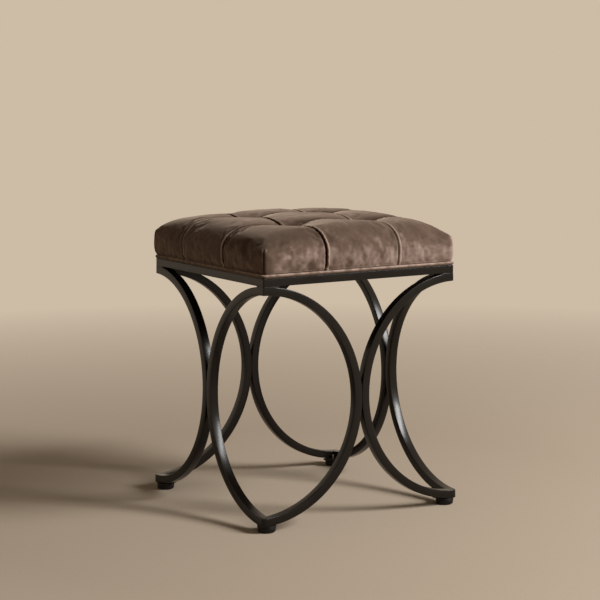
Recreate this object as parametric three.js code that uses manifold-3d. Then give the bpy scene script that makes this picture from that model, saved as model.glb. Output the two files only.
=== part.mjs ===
// A square vanity stool: a tufted velvet seat on a welded base of curved steel bars.
// Units are millimetres, +Z is up, the floor is z = 0 and the origin is the middle of the footprint.
// The front of the stool faces -Y. Its four sides are alike.

import * as THREE from 'three';
import * as BufferGeometryUtils from 'three/addons/utils/BufferGeometryUtils.js';
import Module from 'manifold-3d';

const wasm = await Module();
wasm.setup();

// Driving dimensions of the steel base
const frameWidth = 380; // outside to outside of the square top frame
const frameTop = 420.7; // floor to the top of the frame
const railHeight = 13.3;
const barDepth = 15.2; // of the rails and curved bars, from the outer face inwards
const barThickness = 14; // of the curved bars, in the plane of their side
const footSplay = 7; // how far each foot stands out beyond the frame
const barChamfer = 1; // eased edges of all bars
const weldGap = 0.3; // between pieces that are welded together
const overrun = 2; // how far a cutter runs past the face that it cuts

// Corner plates of the frame, and the small plates that close the foot corners
const gussetLeg = 48;
const gussetTip = 9;
const gussetThickness = 3;
const footPlateLeg = 22;
const footPlateTip = 5;
const footPlateThickness = 3;

// Glides under the feet
const glideHeight = 11.7;
const glideRadius = 15.8;
const glideTaper = 0.7; // how much narrower the glide is at the floor
const glideEdge = 2.4; // radius of its lower edge
const glideInset = 15.86; // from the outer faces of the foot to the middle of the glide
const glideScrewRadius = 2.5;
const glideHeadRadius = 4.9;
const glideHeadHeight = 3;
const glideHeadDepth = 2.2; // how deep the head sits above the floor
const glideScrewReach = 9; // of the screw into the foot
const screwClearance = 0.3;

// Seat board, its nuts and the screws that hold it on the corner plates
const dustCoverThickness = 0.8;
const boardThickness = 12;
const seatScrewInset = 17; // from the inner faces of the rails
const seatScrewRadius = 3;
const seatHeadRadius = 5.8;
const seatHeadHeight = 3.4;
const nutBarrelRadius = 4.6;
const nutBarrelLength = 9;
const nutFlangeRadius = 9.5;
const nutFlangeThickness = 1.4;
const fitGap = 0.3; // between soft or fitted pieces and their neighbours

// Cushion
const weltRadius = 3.3;
const weltProud = 3; // how far the welt stands out beyond the rails
const weltCorner = 9; // bend of the welt's middle line at the seat's corners
const cushionHeight = 74.8; // top of the frame to the seams on top of the seat
const cushionBulge = 5; // how far the sides stand out beyond the rails
const rollWidth = 50; // of the rounding from the top to the sides
const rollHeight = 40.5;
const seamOffset = 72; // middle of the seat to each sewn seam
const pillowRise = 6.5; // of the nine pillows above the seams on top
const pillowSwell = 3.5; // and out of them on the sides
const crossingDip = 8; // extra depth where two seams cross
const crossingReach = 30;
const seamReach = 10; // from a seam to the shoulder of a pillow
const crown = 3; // rise of the middle of the seat
const cornerDrop = 15; // how much lower the four top corners are
const cornerRadiusTop = 14; // plan rounding of the cushion where the top turns down
const cornerRadiusFoot = 8; // and at the welt
const coverThickness = 6; // velvet and wadding over the foam

// Shares and counts of the cushion's grid
const pillowPower = 2.4;
const rollTurnShares = [0.24, 0.5]; // of the rounding, on the top grid
const sideTurnShares = [0.76, 1]; // of the rounding, on the sides
const sideDropShares = [0.5, 1]; // of the straight part of the sides
const foamTurnShares = [1, 0.6, 0.25]; // of the rounding, on the foam
const cornerSwellShare = 0.75; // of a half wave, over which the corners' plan rounding grows
const panelShares = [0.5]; // of the way from a pillow's shoulder to the next line

const arcSegments = 14; // in each quarter of a curved bar
const glideSegments = 20;
const screwSegments = 12;
const cornerSegments = 5; // in each rounded corner
const weltSides = 8;

// Places that follow from the sizes
const half = frameWidth / 2;
const railBottom = frameTop - railHeight;
const innerHalf = half - barDepth;
const boardBottom = frameTop + dustCoverThickness;
const boardTop = boardBottom + boardThickness;
const weltLine = half + weltProud - weltRadius;
const weltZ = frameTop + fitGap + weltRadius;
const coverFoot = weltZ + weltRadius + fitGap;
const boardHalf = weltLine - weltRadius - fitGap;
const boardCorner = weltCorner - weltRadius - fitGap;

// Materials
const steel = new THREE.MeshStandardMaterial({ color: 0x2b2824, roughness: 0.42, metalness: 0.75 });
const zinc = new THREE.MeshStandardMaterial({ color: 0xa9a7a0, roughness: 0.35, metalness: 1 });
const nylon = new THREE.MeshStandardMaterial({ color: 0x14120f, roughness: 0.6, metalness: 0 });
const velvet = new THREE.MeshStandardMaterial({ color: 0x7b685b, roughness: 0.85, metalness: 0 });
const foam = new THREE.MeshStandardMaterial({ color: 0xd9cfae, roughness: 1, metalness: 0 });
const plywood = new THREE.MeshStandardMaterial({ color: 0xb58d5c, roughness: 0.7, metalness: 0 });
const cambric = new THREE.MeshStandardMaterial({ color: 0x1b1b1c, roughness: 0.95, metalness: 0 });

// Turns a closed geometry into a solid that can be joined and cut.
function solid(geometry) {
  const bare = geometry.clone();
  bare.deleteAttribute('normal');
  bare.deleteAttribute('uv');
  const merged = BufferGeometryUtils.mergeVertices(bare);
  return new wasm.Manifold(new wasm.Mesh({
    numProp: 3,
    vertProperties: merged.attributes.position.array,
    triVerts: Uint32Array.from(merged.index.array),
  }));
}

// Turns a solid back into a geometry.
function surface(body) {
  const mesh = body.getMesh();
  const geometry = new THREE.BufferGeometry();
  geometry.setAttribute('position', new THREE.BufferAttribute(mesh.vertProperties, 3));
  geometry.setIndex(new THREE.BufferAttribute(mesh.triVerts, 1));
  geometry.computeVertexNormals();
  return geometry;
}

// Adds a named piece to a group.
function place(group, name, geometry, material, x = 0, y = 0, z = 0) {
  const mesh = new THREE.Mesh(geometry, material);
  mesh.name = name;
  mesh.position.set(x, y, z);
  group.add(mesh);
}

// A turned piece: its profile is a list of [radius, height] pairs, spun about Z.
function turned(profile, segments = screwSegments) {
  const points = profile.map(([radius, height]) => new THREE.Vector2(radius, height));
  return new THREE.LatheGeometry([...points, points[0]], segments).rotateX(Math.PI / 2);
}

// A plate outline extruded upwards from z = 0.
function plate(shape, thickness) {
  const curveSegments = cornerSegments;
  return new THREE.ExtrudeGeometry(shape, { depth: thickness, bevelEnabled: false, curveSegments });
}

function roundHole(x, y, radius) {
  const hole = new THREE.Path();
  hole.absarc(x, y, radius, 0, 2 * Math.PI, true);
  return hole;
}

function roundedSquare(halfSize, radius) {
  const flat = halfSize - radius;
  const shape = new THREE.Shape();
  shape.absarc(flat, flat, radius, 0, Math.PI / 2);
  shape.absarc(-flat, flat, radius, Math.PI / 2, Math.PI);
  shape.absarc(-flat, -flat, radius, Math.PI, 1.5 * Math.PI);
  shape.absarc(flat, -flat, radius, 1.5 * Math.PI, 2 * Math.PI);
  shape.closePath();
  return shape;
}

// Welded steel base

// The sides lean out towards the floor, so a bar is wider below the frame by this much at height z.
function splayAt(z) {
  return footSplay * Math.max(0, railBottom - z) / railBottom;
}

function splayed(geometry) {
  const position = geometry.attributes.position;
  for (let i = 0; i < position.count; i += 1) {
    const grow = (half + splayAt(position.getZ(i))) / half;
    position.setX(i, position.getX(i) * grow);
    position.setY(i, position.getY(i) * grow);
  }
  return geometry;
}

const glideMiddle = half + splayAt(glideHeight) - glideInset;
const seatScrewMiddle = innerHalf - seatScrewInset;

// Everything of one side that lies in front of the mitre planes of its two corners.
function mitreWedge() {
  const reach = half + footSplay + overrun;
  const tip = weldGap / Math.SQRT2;
  const shape = new THREE.Shape();
  shape.moveTo(0, -tip);
  shape.lineTo(-reach, -reach - tip);
  shape.lineTo(reach, -reach - tip);
  shape.closePath();
  return solid(plate(shape, frameTop + overrun));
}

const wedge = mitreWedge();

// A flat outline, drawn across the side and upwards, made a bar of the frame's depth.
function sideBar(shape) {
  const geometry = new THREE.ExtrudeGeometry(shape, {
    depth: barDepth - 2 * barChamfer,
    bevelThickness: barChamfer,
    bevelSize: barChamfer,
    bevelOffset: -barChamfer,
    bevelSegments: 1,
    curveSegments: arcSegments,
  });
  return geometry.rotateX(Math.PI / 2).translate(0, barDepth - barChamfer - half, 0);
}

// One rail of the top frame, mitred at both ends.
function rail() {
  const reach = half + overrun;
  const shape = new THREE.Shape();
  shape.moveTo(-reach, railBottom);
  shape.lineTo(reach, railBottom);
  shape.lineTo(reach, frameTop);
  shape.lineTo(-reach, frameTop);
  shape.closePath();
  return surface(solid(sideBar(shape)).intersect(wedge));
}

// The hole that takes a glide's screw, at the foot towards +x (side 1) or -x (side -1).
function glideHole(side) {
  const radius = glideScrewRadius + screwClearance;
  const depth = glideScrewReach + screwClearance;
  const hole = turned([[0, glideHeight - overrun], [radius, glideHeight - overrun],
    [radius, glideHeight + depth], [0, glideHeight + depth]]);
  return solid(hole.translate(side * glideMiddle, -glideMiddle, 0));
}

// A bar bent to half an ellipse, towards +x (side 1) or -x (side -1) of its side of the stool: its
// waist is at the middle of the side, its ends are at the corner, under the frame and over the glide.
function curvedBar(side) {
  const top = railBottom - weldGap;
  const middle = (top + glideHeight) / 2;
  const across = half - weldGap / 2;
  const up = (top - glideHeight) / 2;
  const reach = half + overrun;
  const bend = (inset) => Array.from({ length: 2 * arcSegments + 1 }, (_, k) => {
    const turn = (Math.PI / 2) * (1 - k / arcSegments);
    const x = half - (across - inset) * Math.cos(turn);
    return new THREE.Vector2(side * x, middle + (up - inset) * Math.sin(turn));
  });
  const end = (height) => new THREE.Vector2(side * reach, middle + height);
  const shape = new THREE.Shape([end(up), ...bend(0), end(-up), end(barThickness - up),
    ...bend(barThickness).reverse(), end(up - barThickness)]);
  const bar = solid(splayed(sideBar(shape)));
  return surface(bar.intersect(wedge).subtract(glideHole(side)));
}

// A corner plate: a right-angled triangle with blunt tips, its square corner at the origin.
function cornerPlate(leg, tip, thickness, holeInset, holeRadius) {
  const shape = new THREE.Shape();
  shape.moveTo(0, 0);
  shape.lineTo(leg, 0);
  shape.lineTo(leg, tip);
  shape.lineTo(tip, leg);
  shape.lineTo(0, leg);
  shape.closePath();
  if (holeInset > 0) shape.holes.push(roundHole(holeInset, holeInset, holeRadius));
  return plate(shape, thickness);
}

// The small plate that closes the inner corner of a foot, drilled with it for the glide's screw.
function footPlate() {
  const grow = (half + splayAt(glideHeight + footPlateThickness)) / half;
  const corner = innerHalf * grow - weldGap;
  const body = solid(cornerPlate(footPlateLeg, footPlateTip, footPlateThickness, 0, 0)
    .translate(-corner, -corner, glideHeight));
  return surface(body.subtract(glideHole(-1)));
}

function gusset() {
  const corner = innerHalf - weldGap;
  const hole = seatScrewInset - weldGap;
  return cornerPlate(gussetLeg, gussetTip, gussetThickness, hole, seatScrewRadius + screwClearance)
    .translate(-corner, -corner, frameTop - gussetThickness);
}

// A moulded glide with a counterbored hole for its screw.
function glide() {
  const hole = glideScrewRadius + screwClearance;
  const pocket = glideHeadRadius + screwClearance;
  const seat = glideHeadDepth + glideHeadHeight;
  const foot = glideRadius - glideTaper;
  const profile = [[hole, glideHeight], [hole, seat], [pocket, seat], [pocket, 0], [foot - glideEdge, 0]];
  for (const turn of [Math.PI / 6, Math.PI / 3]) {
    profile.push([foot - glideEdge * (1 - Math.sin(turn)), glideEdge * (1 - Math.cos(turn))]);
  }
  profile.push([foot, glideEdge], [glideRadius, glideHeight - glideEdge], [glideRadius, glideHeight]);
  return turned(profile, glideSegments);
}

function glideScrew() {
  const under = glideHeadDepth + glideHeadHeight;
  return turned([[0, glideHeadDepth], [glideHeadRadius, glideHeadDepth], [glideHeadRadius, under],
    [glideScrewRadius, under], [glideScrewRadius, glideHeight + glideScrewReach],
    [0, glideHeight + glideScrewReach]]);
}

// Seat board and what fastens it

function seatScrew() {
  const under = frameTop - gussetThickness;
  const tip = boardTop - nutFlangeThickness;
  return turned([[0, under - seatHeadHeight], [seatHeadRadius, under - seatHeadHeight],
    [seatHeadRadius, under], [seatScrewRadius, under], [seatScrewRadius, tip], [0, tip]]);
}

// A flanged nut that is pressed into the board from above.
function seatNut() {
  const bore = seatScrewRadius + screwClearance;
  const flange = boardTop - nutFlangeThickness;
  return turned([[bore, boardTop], [bore, boardTop - nutBarrelLength],
    [nutBarrelRadius, boardTop - nutBarrelLength], [nutBarrelRadius, flange],
    [nutFlangeRadius, flange], [nutFlangeRadius, boardTop]]);
}

// The stepped hole that a nut sits in, round a line at x and y.
function nutHole(x, y) {
  const barrel = nutBarrelRadius + fitGap;
  const flange = nutFlangeRadius + fitGap;
  const step = boardTop - nutFlangeThickness;
  const hole = turned([[0, boardBottom - overrun], [barrel, boardBottom - overrun], [barrel, step],
    [flange, step], [flange, boardTop + overrun], [0, boardTop + overrun]]);
  return solid(hole.translate(x, y, 0));
}

const corners = [[-1, -1], [1, -1], [1, 1], [-1, 1]];

function seatBoard() {
  const blank = plate(roundedSquare(boardHalf, boardCorner), boardThickness).translate(0, 0, boardBottom);
  let board = solid(blank);
  for (const [x, y] of corners) {
    board = board.subtract(nutHole(x * seatScrewMiddle, y * seatScrewMiddle));
  }
  return surface(board);
}

function dustCover() {
  const shape = roundedSquare(boardHalf - fitGap, boardCorner);
  const radius = seatScrewRadius + screwClearance;
  for (const [x, y] of corners) {
    shape.holes.push(roundHole(x * seatScrewMiddle, y * seatScrewMiddle, radius));
  }
  return plate(shape, dustCoverThickness).translate(0, 0, frameTop);
}

// Cushion. A wrap distance is measured from the middle of the seat along the cloth: across the flat
// top, over the rounding and down the side to the welt.

const cushionHalf = half + cushionBulge;
const flatHalf = cushionHalf - rollWidth;
const seamTop = frameTop + cushionHeight;
const rollFoot = seamTop - rollHeight;
const rollLength = (Math.PI / 2) * Math.sqrt((rollWidth ** 2 + rollHeight ** 2) / 2);
const sideLength = rollFoot - coverFoot;
const wrapEnd = flatHalf + rollLength + sideLength;

// Half width, height and outward direction of the cushion at a wrap distance.
function cushionProfile(wrap) {
  if (wrap <= flatHalf) return { reach: wrap, z: seamTop, out: 0, up: 1 };
  if (wrap <= flatHalf + rollLength) {
    const turn = (wrap - flatHalf) / rollLength * Math.PI / 2;
    const out = rollHeight * Math.sin(turn);
    const up = rollWidth * Math.cos(turn);
    const length = Math.hypot(out, up);
    return {
      reach: flatHalf + rollWidth * Math.sin(turn),
      z: seamTop - rollHeight * (1 - Math.cos(turn)),
      out: out / length,
      up: up / length,
    };
  }
  const dropShare = (wrap - flatHalf - rollLength) / sideLength;
  return {
    reach: cushionHalf - cushionBulge * dropShare ** 2,
    z: rollFoot - sideLength * dropShare,
    out: 1,
    up: 0,
  };
}

// Plan rounding of the cushion's corners at a wrap distance: none on the flat top.
function cushionCorner(wrap) {
  const rollShare = Math.min(1, Math.max(0, (wrap - flatHalf) / rollLength));
  const dropShare = Math.max(0, (wrap - flatHalf - rollLength) / sideLength);
  const swell = Math.sin(Math.PI * rollShare * cornerSwellShare);
  const bend = cornerRadiusTop * swell * (1 - dropShare) + cornerRadiusFoot * dropShare;
  return Math.max(bend, cornerRadiusFoot * rollShare);
}

// How full a pillow is at a wrap distance: 0 on the seams and at the welt, 1 in the middle.
function fullness(wrap) {
  const distance = Math.abs(wrap);
  const edgeShare = distance < seamOffset
    ? distance / seamOffset
    : Math.abs(2 * (distance - seamOffset) / (wrapEnd - seamOffset) - 1);
  return (1 - edgeShare ** pillowPower) ** (1 / pillowPower);
}

// A point of the cushion's cloth. across and along are wrap distances with signs, and wrap is the
// wrap distance of the ring that the point lies on.
function cushionPoint(across, along, wrap) {
  const ring = cushionProfile(wrap);
  const gridEdge = Math.max(Math.abs(across), Math.abs(along));
  const squeeze = gridEdge > flatHalf ? (ring.reach - flatHalf) / (gridEdge - flatHalf) : 1;
  const plan = [across, along].map((value) => {
    const size = Math.abs(value);
    const placed = size <= flatHalf ? size : flatHalf + (size - flatHalf) * squeeze;
    return Math.sign(value) * placed;
  });
  const bend = cushionCorner(wrap);
  const core = plan.map((value) => Math.sign(value) * Math.min(Math.abs(value), ring.reach - bend));
  const arm = new THREE.Vector2(plan[0] - core[0], plan[1] - core[1]);
  if (arm.length() > 0 && bend > 0) arm.setLength(bend);
  const outward = arm.length() > 0 ? arm.clone().normalize() : new THREE.Vector2(0, 0);
  const wraps = [across, along].map((value) => (Math.abs(value) === gridEdge ? wrap : value));
  const full = fullness(wraps[0]) * fullness(wraps[1]);
  const crossing = Math.hypot(Math.abs(wraps[0]) - seamOffset, Math.abs(wraps[1]) - seamOffset);
  const dip = crossingDip * Math.exp(-((crossing / crossingReach) ** 2));
  const middleShare = Math.max(0, 1 - (gridEdge / flatHalf) ** 2);
  const cornerShare = (Math.abs(across) * Math.abs(along) / gridLimit ** 2) ** 2;
  const upright = (ring.z - coverFoot) / (seamTop - coverFoot);
  return [
    core[0] + arm.x + outward.x * pillowSwell * full * ring.out,
    core[1] + arm.y + outward.y * pillowSwell * full * ring.out,
    ring.z + (pillowRise * full - dip) * ring.up + crown * middleShare - cornerDrop * cornerShare * upright,
  ];
}

// Lines of the cushion's grid, as wrap distances from the middle outwards.
const shoulder = seamOffset + seamReach;
const gridLines = [seamOffset / 2, seamOffset - seamReach, seamOffset, shoulder,
  ...panelShares.map((share) => shoulder + share * (flatHalf - shoulder)), flatHalf,
  ...rollTurnShares.map((share) => flatHalf + share * rollLength)];
const gridLimit = gridLines[gridLines.length - 1];
const sideLines = [...sideTurnShares.map((share) => flatHalf + share * rollLength),
  ...sideDropShares.map((share) => flatHalf + rollLength + share * sideLength)];

// The outer form of the cushion, closed with a flat underside.
function cushionForm() {
  const lines = [...gridLines.map((line) => -line).reverse(), 0, ...gridLines];
  const last = lines.length - 1;
  const points = [];
  const faces = [];
  const at = (i, j) => j * lines.length + i;
  for (const along of lines) {
    for (const across of lines) {
      points.push(cushionPoint(across, along, Math.max(Math.abs(across), Math.abs(along))));
    }
  }
  for (let j = 0; j < last; j += 1) {
    for (let i = 0; i < last; i += 1) {
      faces.push([at(i, j), at(i + 1, j), at(i + 1, j + 1)], [at(i, j), at(i + 1, j + 1), at(i, j + 1)]);
    }
  }
  const rim = [];
  for (let i = 0; i < last; i += 1) rim.push([i, 0]);
  for (let j = 0; j < last; j += 1) rim.push([last, j]);
  for (let i = last; i > 0; i -= 1) rim.push([i, last]);
  for (let j = last; j > 0; j -= 1) rim.push([0, j]);
  let upper = rim.map(([i, j]) => at(i, j));
  for (const wrap of sideLines) {
    const lower = rim.map(([i, j]) => points.push(cushionPoint(lines[i], lines[j], wrap)) - 1);
    upper.forEach((corner, k) => {
      const next = (k + 1) % rim.length;
      faces.push([corner, lower[k], lower[next]], [corner, lower[next], upper[next]]);
    });
    upper = lower;
  }
  closeRing(points, faces, upper, false);
  return closedGeometry(points, faces);
}

// Fills a ring of points with triangles that face up or down.
function closeRing(points, faces, ring, facesUp) {
  const outline = ring.map((index) => new THREE.Vector2(points[index][0], points[index][1]));
  for (const [a, b, c] of THREE.ShapeUtils.triangulateShape(outline, [])) {
    faces.push(facesUp ? [ring[a], ring[b], ring[c]] : [ring[a], ring[c], ring[b]]);
  }
}

function closedGeometry(points, faces) {
  const geometry = new THREE.BufferGeometry();
  geometry.setAttribute('position', new THREE.Float32BufferAttribute(points.flat(), 3));
  geometry.setIndex(faces.flat());
  geometry.computeVertexNormals();
  return geometry;
}

// A stack of rounded squares, each { reach, bend, z }, joined from the lowest to the highest.
function stackedSquares(rings) {
  const points = [];
  const faces = [];
  const loops = rings.map(({ reach, bend, z }) => roundedSquare(reach, bend).getPoints(cornerSegments)
    .slice(0, -1)
    .map((point) => points.push([point.x, point.y, z]) - 1));
  closeRing(points, faces, loops[0], false);
  for (let level = 1; level < loops.length; level += 1) {
    const [lower, upper] = [loops[level - 1], loops[level]];
    lower.forEach((corner, k) => {
      const next = (k + 1) % lower.length;
      faces.push([corner, lower[next], upper[next]], [corner, upper[next], upper[k]]);
    });
  }
  closeRing(points, faces, loops[loops.length - 1], true);
  return closedGeometry(points, faces);
}

// The foam follows the cushion's form, inside the cover. grow makes it larger on all sides.
function foamRings(grow) {
  const inset = coverThickness - grow;
  const wraps = [wrapEnd - sideLength / 2,
    ...foamTurnShares.map((share) => flatHalf + share * rollLength)];
  const rings = wraps.map((wrap) => {
    const { reach, z, out, up } = cushionProfile(wrap);
    const bend = cornerRadiusTop - inset;
    return { reach: reach - inset * out, bend, z: z - (inset + crossingDip) * up };
  });
  return [{ reach: boardHalf + grow, bend: boardCorner + grow, z: boardTop }, ...rings];
}

function foamPad() {
  return stackedSquares(foamRings(0));
}

// The velvet cover with its wadding: open below, where the foam and the board go in.
function cushionCover() {
  const mouth = { reach: boardHalf + fitGap, bend: boardCorner + fitGap, z: coverFoot - overrun };
  const pocket = stackedSquares([mouth, ...foamRings(fitGap)]);
  return surface(solid(cushionForm()).subtract(solid(pocket)));
}

// The covered cord that runs round the seat between the cover and the frame.
function welt() {
  const sides = weltSides;
  const path = roundedSquare(weltLine, weltCorner).getPoints(cornerSegments).slice(0, -1);
  const centre = weltLine - weltCorner;
  const points = [];
  const faces = [];
  path.forEach((point, k) => {
    const core = new THREE.Vector2(THREE.MathUtils.clamp(point.x, -centre, centre),
      THREE.MathUtils.clamp(point.y, -centre, centre));
    const outward = point.clone().sub(core).normalize();
    const nextRing = ((k + 1) % path.length) * sides;
    for (let s = 0; s < sides; s += 1) {
      const turn = 2 * Math.PI * s / sides;
      const shift = weltRadius * Math.cos(turn);
      const z = weltZ + weltRadius * Math.sin(turn);
      points.push([point.x + outward.x * shift, point.y + outward.y * shift, z]);
      const nextSide = (s + 1) % sides;
      const [a, b, c, d] = [k * sides + s, nextRing + s, nextRing + nextSide, k * sides + nextSide];
      faces.push([a, b, c], [a, c, d]);
    }
  });
  return closedGeometry(points, faces);
}

// Assembly

const sideNames = ['front', 'right', 'back', 'left'];
const stool = new THREE.Group();

sideNames.forEach((name, index) => {
  const side = new THREE.Group();
  side.rotation.z = index * Math.PI / 2;
  const before = sideNames[(index + 3) % 4];
  const after = sideNames[(index + 1) % 4];
  place(side, `rail_${name}`, rail(), steel);
  place(side, `curved_bar_${name}_${before}`, curvedBar(-1), steel);
  place(side, `curved_bar_${name}_${after}`, curvedBar(1), steel);
  const corner = `${name}_${before}`;
  place(side, `corner_plate_${corner}`, gusset(), steel);
  place(side, `foot_plate_${corner}`, footPlate(), steel);
  place(side, `glide_${corner}`, glide(), nylon, -glideMiddle, -glideMiddle);
  place(side, `glide_screw_${corner}`, glideScrew(), zinc, -glideMiddle, -glideMiddle);
  place(side, `seat_screw_${corner}`, seatScrew(), zinc, -seatScrewMiddle, -seatScrewMiddle);
  place(side, `seat_nut_${corner}`, seatNut(), zinc, -seatScrewMiddle, -seatScrewMiddle);
  stool.add(side);
});

place(stool, 'seat_board', seatBoard(), plywood);
place(stool, 'dust_cover', dustCover(), cambric);
place(stool, 'foam_pad', foamPad(), foam);
place(stool, 'cushion_cover', cushionCover(), velvet);
place(stool, 'welt', welt(), velvet);

export default stool;
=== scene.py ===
# %% [markdown]
# # A vanity stool: tufted velvet on curved steel bars
#
# The stool has a square seat cushion, covered in short-pile velvet that is sewn down along four
# seams, on a welded base. Each side of the base is a pair of bars bent to half ellipses, so that
# two of them round a corner make a pointed oval. The steel is powder coated, and each foot
# stands on a moulded glide.
#
# Everything here is in metres. The construction model is loaded first as a fixed frame, and each
# piece takes its place and size from it.

# %% Load the fixed frame
import math

import bmesh
import bpy
import numpy as np
from mathutils import Matrix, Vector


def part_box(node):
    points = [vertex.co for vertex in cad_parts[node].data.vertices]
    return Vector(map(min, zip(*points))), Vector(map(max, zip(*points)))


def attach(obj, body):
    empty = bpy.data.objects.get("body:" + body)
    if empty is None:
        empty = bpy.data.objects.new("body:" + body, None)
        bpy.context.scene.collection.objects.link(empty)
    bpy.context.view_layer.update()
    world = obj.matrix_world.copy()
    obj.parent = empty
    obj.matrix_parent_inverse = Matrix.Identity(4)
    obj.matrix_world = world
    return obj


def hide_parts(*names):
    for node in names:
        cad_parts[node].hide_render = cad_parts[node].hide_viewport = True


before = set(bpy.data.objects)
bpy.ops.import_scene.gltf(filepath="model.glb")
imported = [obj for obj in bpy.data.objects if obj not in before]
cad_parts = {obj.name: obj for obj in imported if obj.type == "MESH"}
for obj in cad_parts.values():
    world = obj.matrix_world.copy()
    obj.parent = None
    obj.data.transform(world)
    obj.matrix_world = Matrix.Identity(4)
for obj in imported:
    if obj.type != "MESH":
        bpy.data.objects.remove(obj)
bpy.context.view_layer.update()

MM = 0.001
scene = bpy.context.scene
print("The frame holds", len(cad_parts), "nodes")

# %% [markdown]
# ## The camera
#
# A product photograph is taken from well back with a long lens, so that a square seat keeps its
# proportions. Here the camera stands about three metres away, a little above the seat, and looks
# at the stool past its front left corner. It is placed with an azimuth, an elevation and a
# distance, because those three numbers can be judged one at a time against a photograph.

# %% Place the camera
VIEW_AZIMUTH = math.radians(-31.607)
VIEW_ELEVATION = math.radians(7.543)
VIEW_ROLL = math.radians(-0.159)
VIEW_DISTANCE = 3.186
VIEW_TARGET = np.array([0.0, 0.0, 0.3532])
FOCAL_PIXELS = 1808.17
FRAME_PIXELS = 600
SHIFT_PIXELS = (2.0, -0.44)
SENSOR_WIDTH = 36.0


def place_camera():
    """Looks at the target from the azimuth, elevation and distance, turned by the roll."""
    back = np.array([
        math.sin(VIEW_AZIMUTH) * math.cos(VIEW_ELEVATION),
        -math.cos(VIEW_AZIMUTH) * math.cos(VIEW_ELEVATION),
        math.sin(VIEW_ELEVATION),
    ])
    level = np.cross(-back, [0, 0, 1])
    level /= np.linalg.norm(level)
    upright = np.cross(level, -back)
    right = math.cos(VIEW_ROLL) * level + math.sin(VIEW_ROLL) * upright
    up = -math.sin(VIEW_ROLL) * level + math.cos(VIEW_ROLL) * upright
    data = bpy.data.cameras.new("camera")
    data.sensor_width = SENSOR_WIDTH
    data.lens = FOCAL_PIXELS / FRAME_PIXELS * SENSOR_WIDTH
    data.shift_x = -SHIFT_PIXELS[0] / FRAME_PIXELS
    data.shift_y = SHIFT_PIXELS[1] / FRAME_PIXELS
    camera = bpy.data.objects.new("camera", data)
    turned = np.eye(4)
    turned[:3, 0], turned[:3, 1], turned[:3, 2] = right, up, back
    turned[:3, 3] = VIEW_TARGET + back * VIEW_DISTANCE
    camera.matrix_world = Matrix(turned)
    scene.collection.objects.link(camera)
    scene.camera = camera


place_camera()
print("The lens is", round(scene.camera.data.lens, 1), "mm long")

# %% [markdown]
# ## Helpers for meshes
#
# Almost every piece is a surface on a grid: rows and columns of points that a formula gives, with
# a four-sided face in each cell. So one helper makes the faces of a grid, one puts arrays into a
# mesh, and one turns a front piece to the other three sides, because the stool is the same on all
# four.

# %% Make meshes from arrays
# Lengths below TINY are taken as nothing, and places closer than NEAR as the same.
TINY = 1e-9
NEAR = 1e-6


def grid_faces(rows, columns, wrap_columns=False):
    """The quads of a grid whose point (row, column) has the index row * columns + column."""
    row = np.arange(rows - 1)[:, None]
    column = np.arange(columns if wrap_columns else columns - 1)[None, :]
    after = (column + 1) % columns
    quads = [row * columns + column, row * columns + after,
             (row + 1) * columns + after, (row + 1) * columns + column]
    return np.stack(np.broadcast_arrays(*quads), axis=-1).reshape(-1, 4)


def make_piece(name, points, faces, finish, smooth=True):
    """A mesh object at the origin, with its place in its points. faces is a list of index lists."""
    mesh = bpy.data.meshes.new(name)
    mesh.from_pydata(np.asarray(points, float).reshape(-1, 3).tolist(), [], [list(f) for f in faces])
    mesh.polygons.foreach_set("use_smooth", np.full(len(mesh.polygons), smooth))
    mesh.materials.append(finish)
    mesh.update()
    piece = bpy.data.objects.new(name, mesh)
    scene.collection.objects.link(piece)
    return piece


def face_outward(piece):
    """Turns over the faces that point inwards, part by part."""
    skin = bmesh.new()
    skin.from_mesh(piece.data)
    bmesh.ops.recalc_face_normals(skin, faces=skin.faces[:])
    skin.to_mesh(piece.data)
    skin.free()
    return piece


def join_parts(parts):
    """Several (points, faces) pairs as one pair."""
    points, faces, start = [], [], 0
    for part_points, part_faces in parts:
        part_points = np.asarray(part_points, float).reshape(-1, 3)
        points.append(part_points)
        faces.extend([[int(i) + start for i in face] for face in part_faces])
        start += len(part_points)
    return np.concatenate(points), faces


def quarter_turned(points, turns):
    """Points of the front side, turned about the stool's middle to another side."""
    angle = turns * math.pi / 2
    cos, sin = round(math.cos(angle)), round(math.sin(angle))
    x, y, z = np.moveaxis(np.asarray(points, float), -1, 0)
    return np.stack([x * cos - y * sin, x * sin + y * cos, z], axis=-1)


def smooth_step(value, start, end):
    """0 before start and 1 after end, with a smooth change between them."""
    share = np.clip((value - start) / (end - start), 0, 1)
    return share * share * (3 - 2 * share)


def hill(distance, width, power=2):
    """1 at no distance, falling to 1 / e at the width. A higher power makes steeper flanks."""
    return np.exp(-np.abs(distance / width) ** power)


def repaint(node_name, finish):
    """Gives a piece of the fixed frame a better finish, in its own material slot."""
    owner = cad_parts[node_name]
    if not owner.material_slots:
        owner.data.materials.append(finish)
    for place in owner.material_slots:
        place.material = finish


def settle(piece, slot, *nodes):
    """Fixes a finished piece to the stool and hides the nodes that it stands for. The slot is not used."""
    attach(piece, "root")
    if nodes:
        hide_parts(*nodes)


SIDES = ["front", "right", "back", "left"]


def corner_name(side):
    """The name of the corner where a side meets the one before it."""
    return f"{SIDES[side]}_{SIDES[side - 1]}"


print("Corners:", [corner_name(side) for side in range(4)])

# %% [markdown]
# ## Helpers for materials
#
# A material is a small network of nodes that ends in a shader. One function adds a node with its
# settings and its links, one fills in the sockets of a node that is there already, and one turns
# the hex colours that people write down into the linear numbers that light is computed with.

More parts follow.
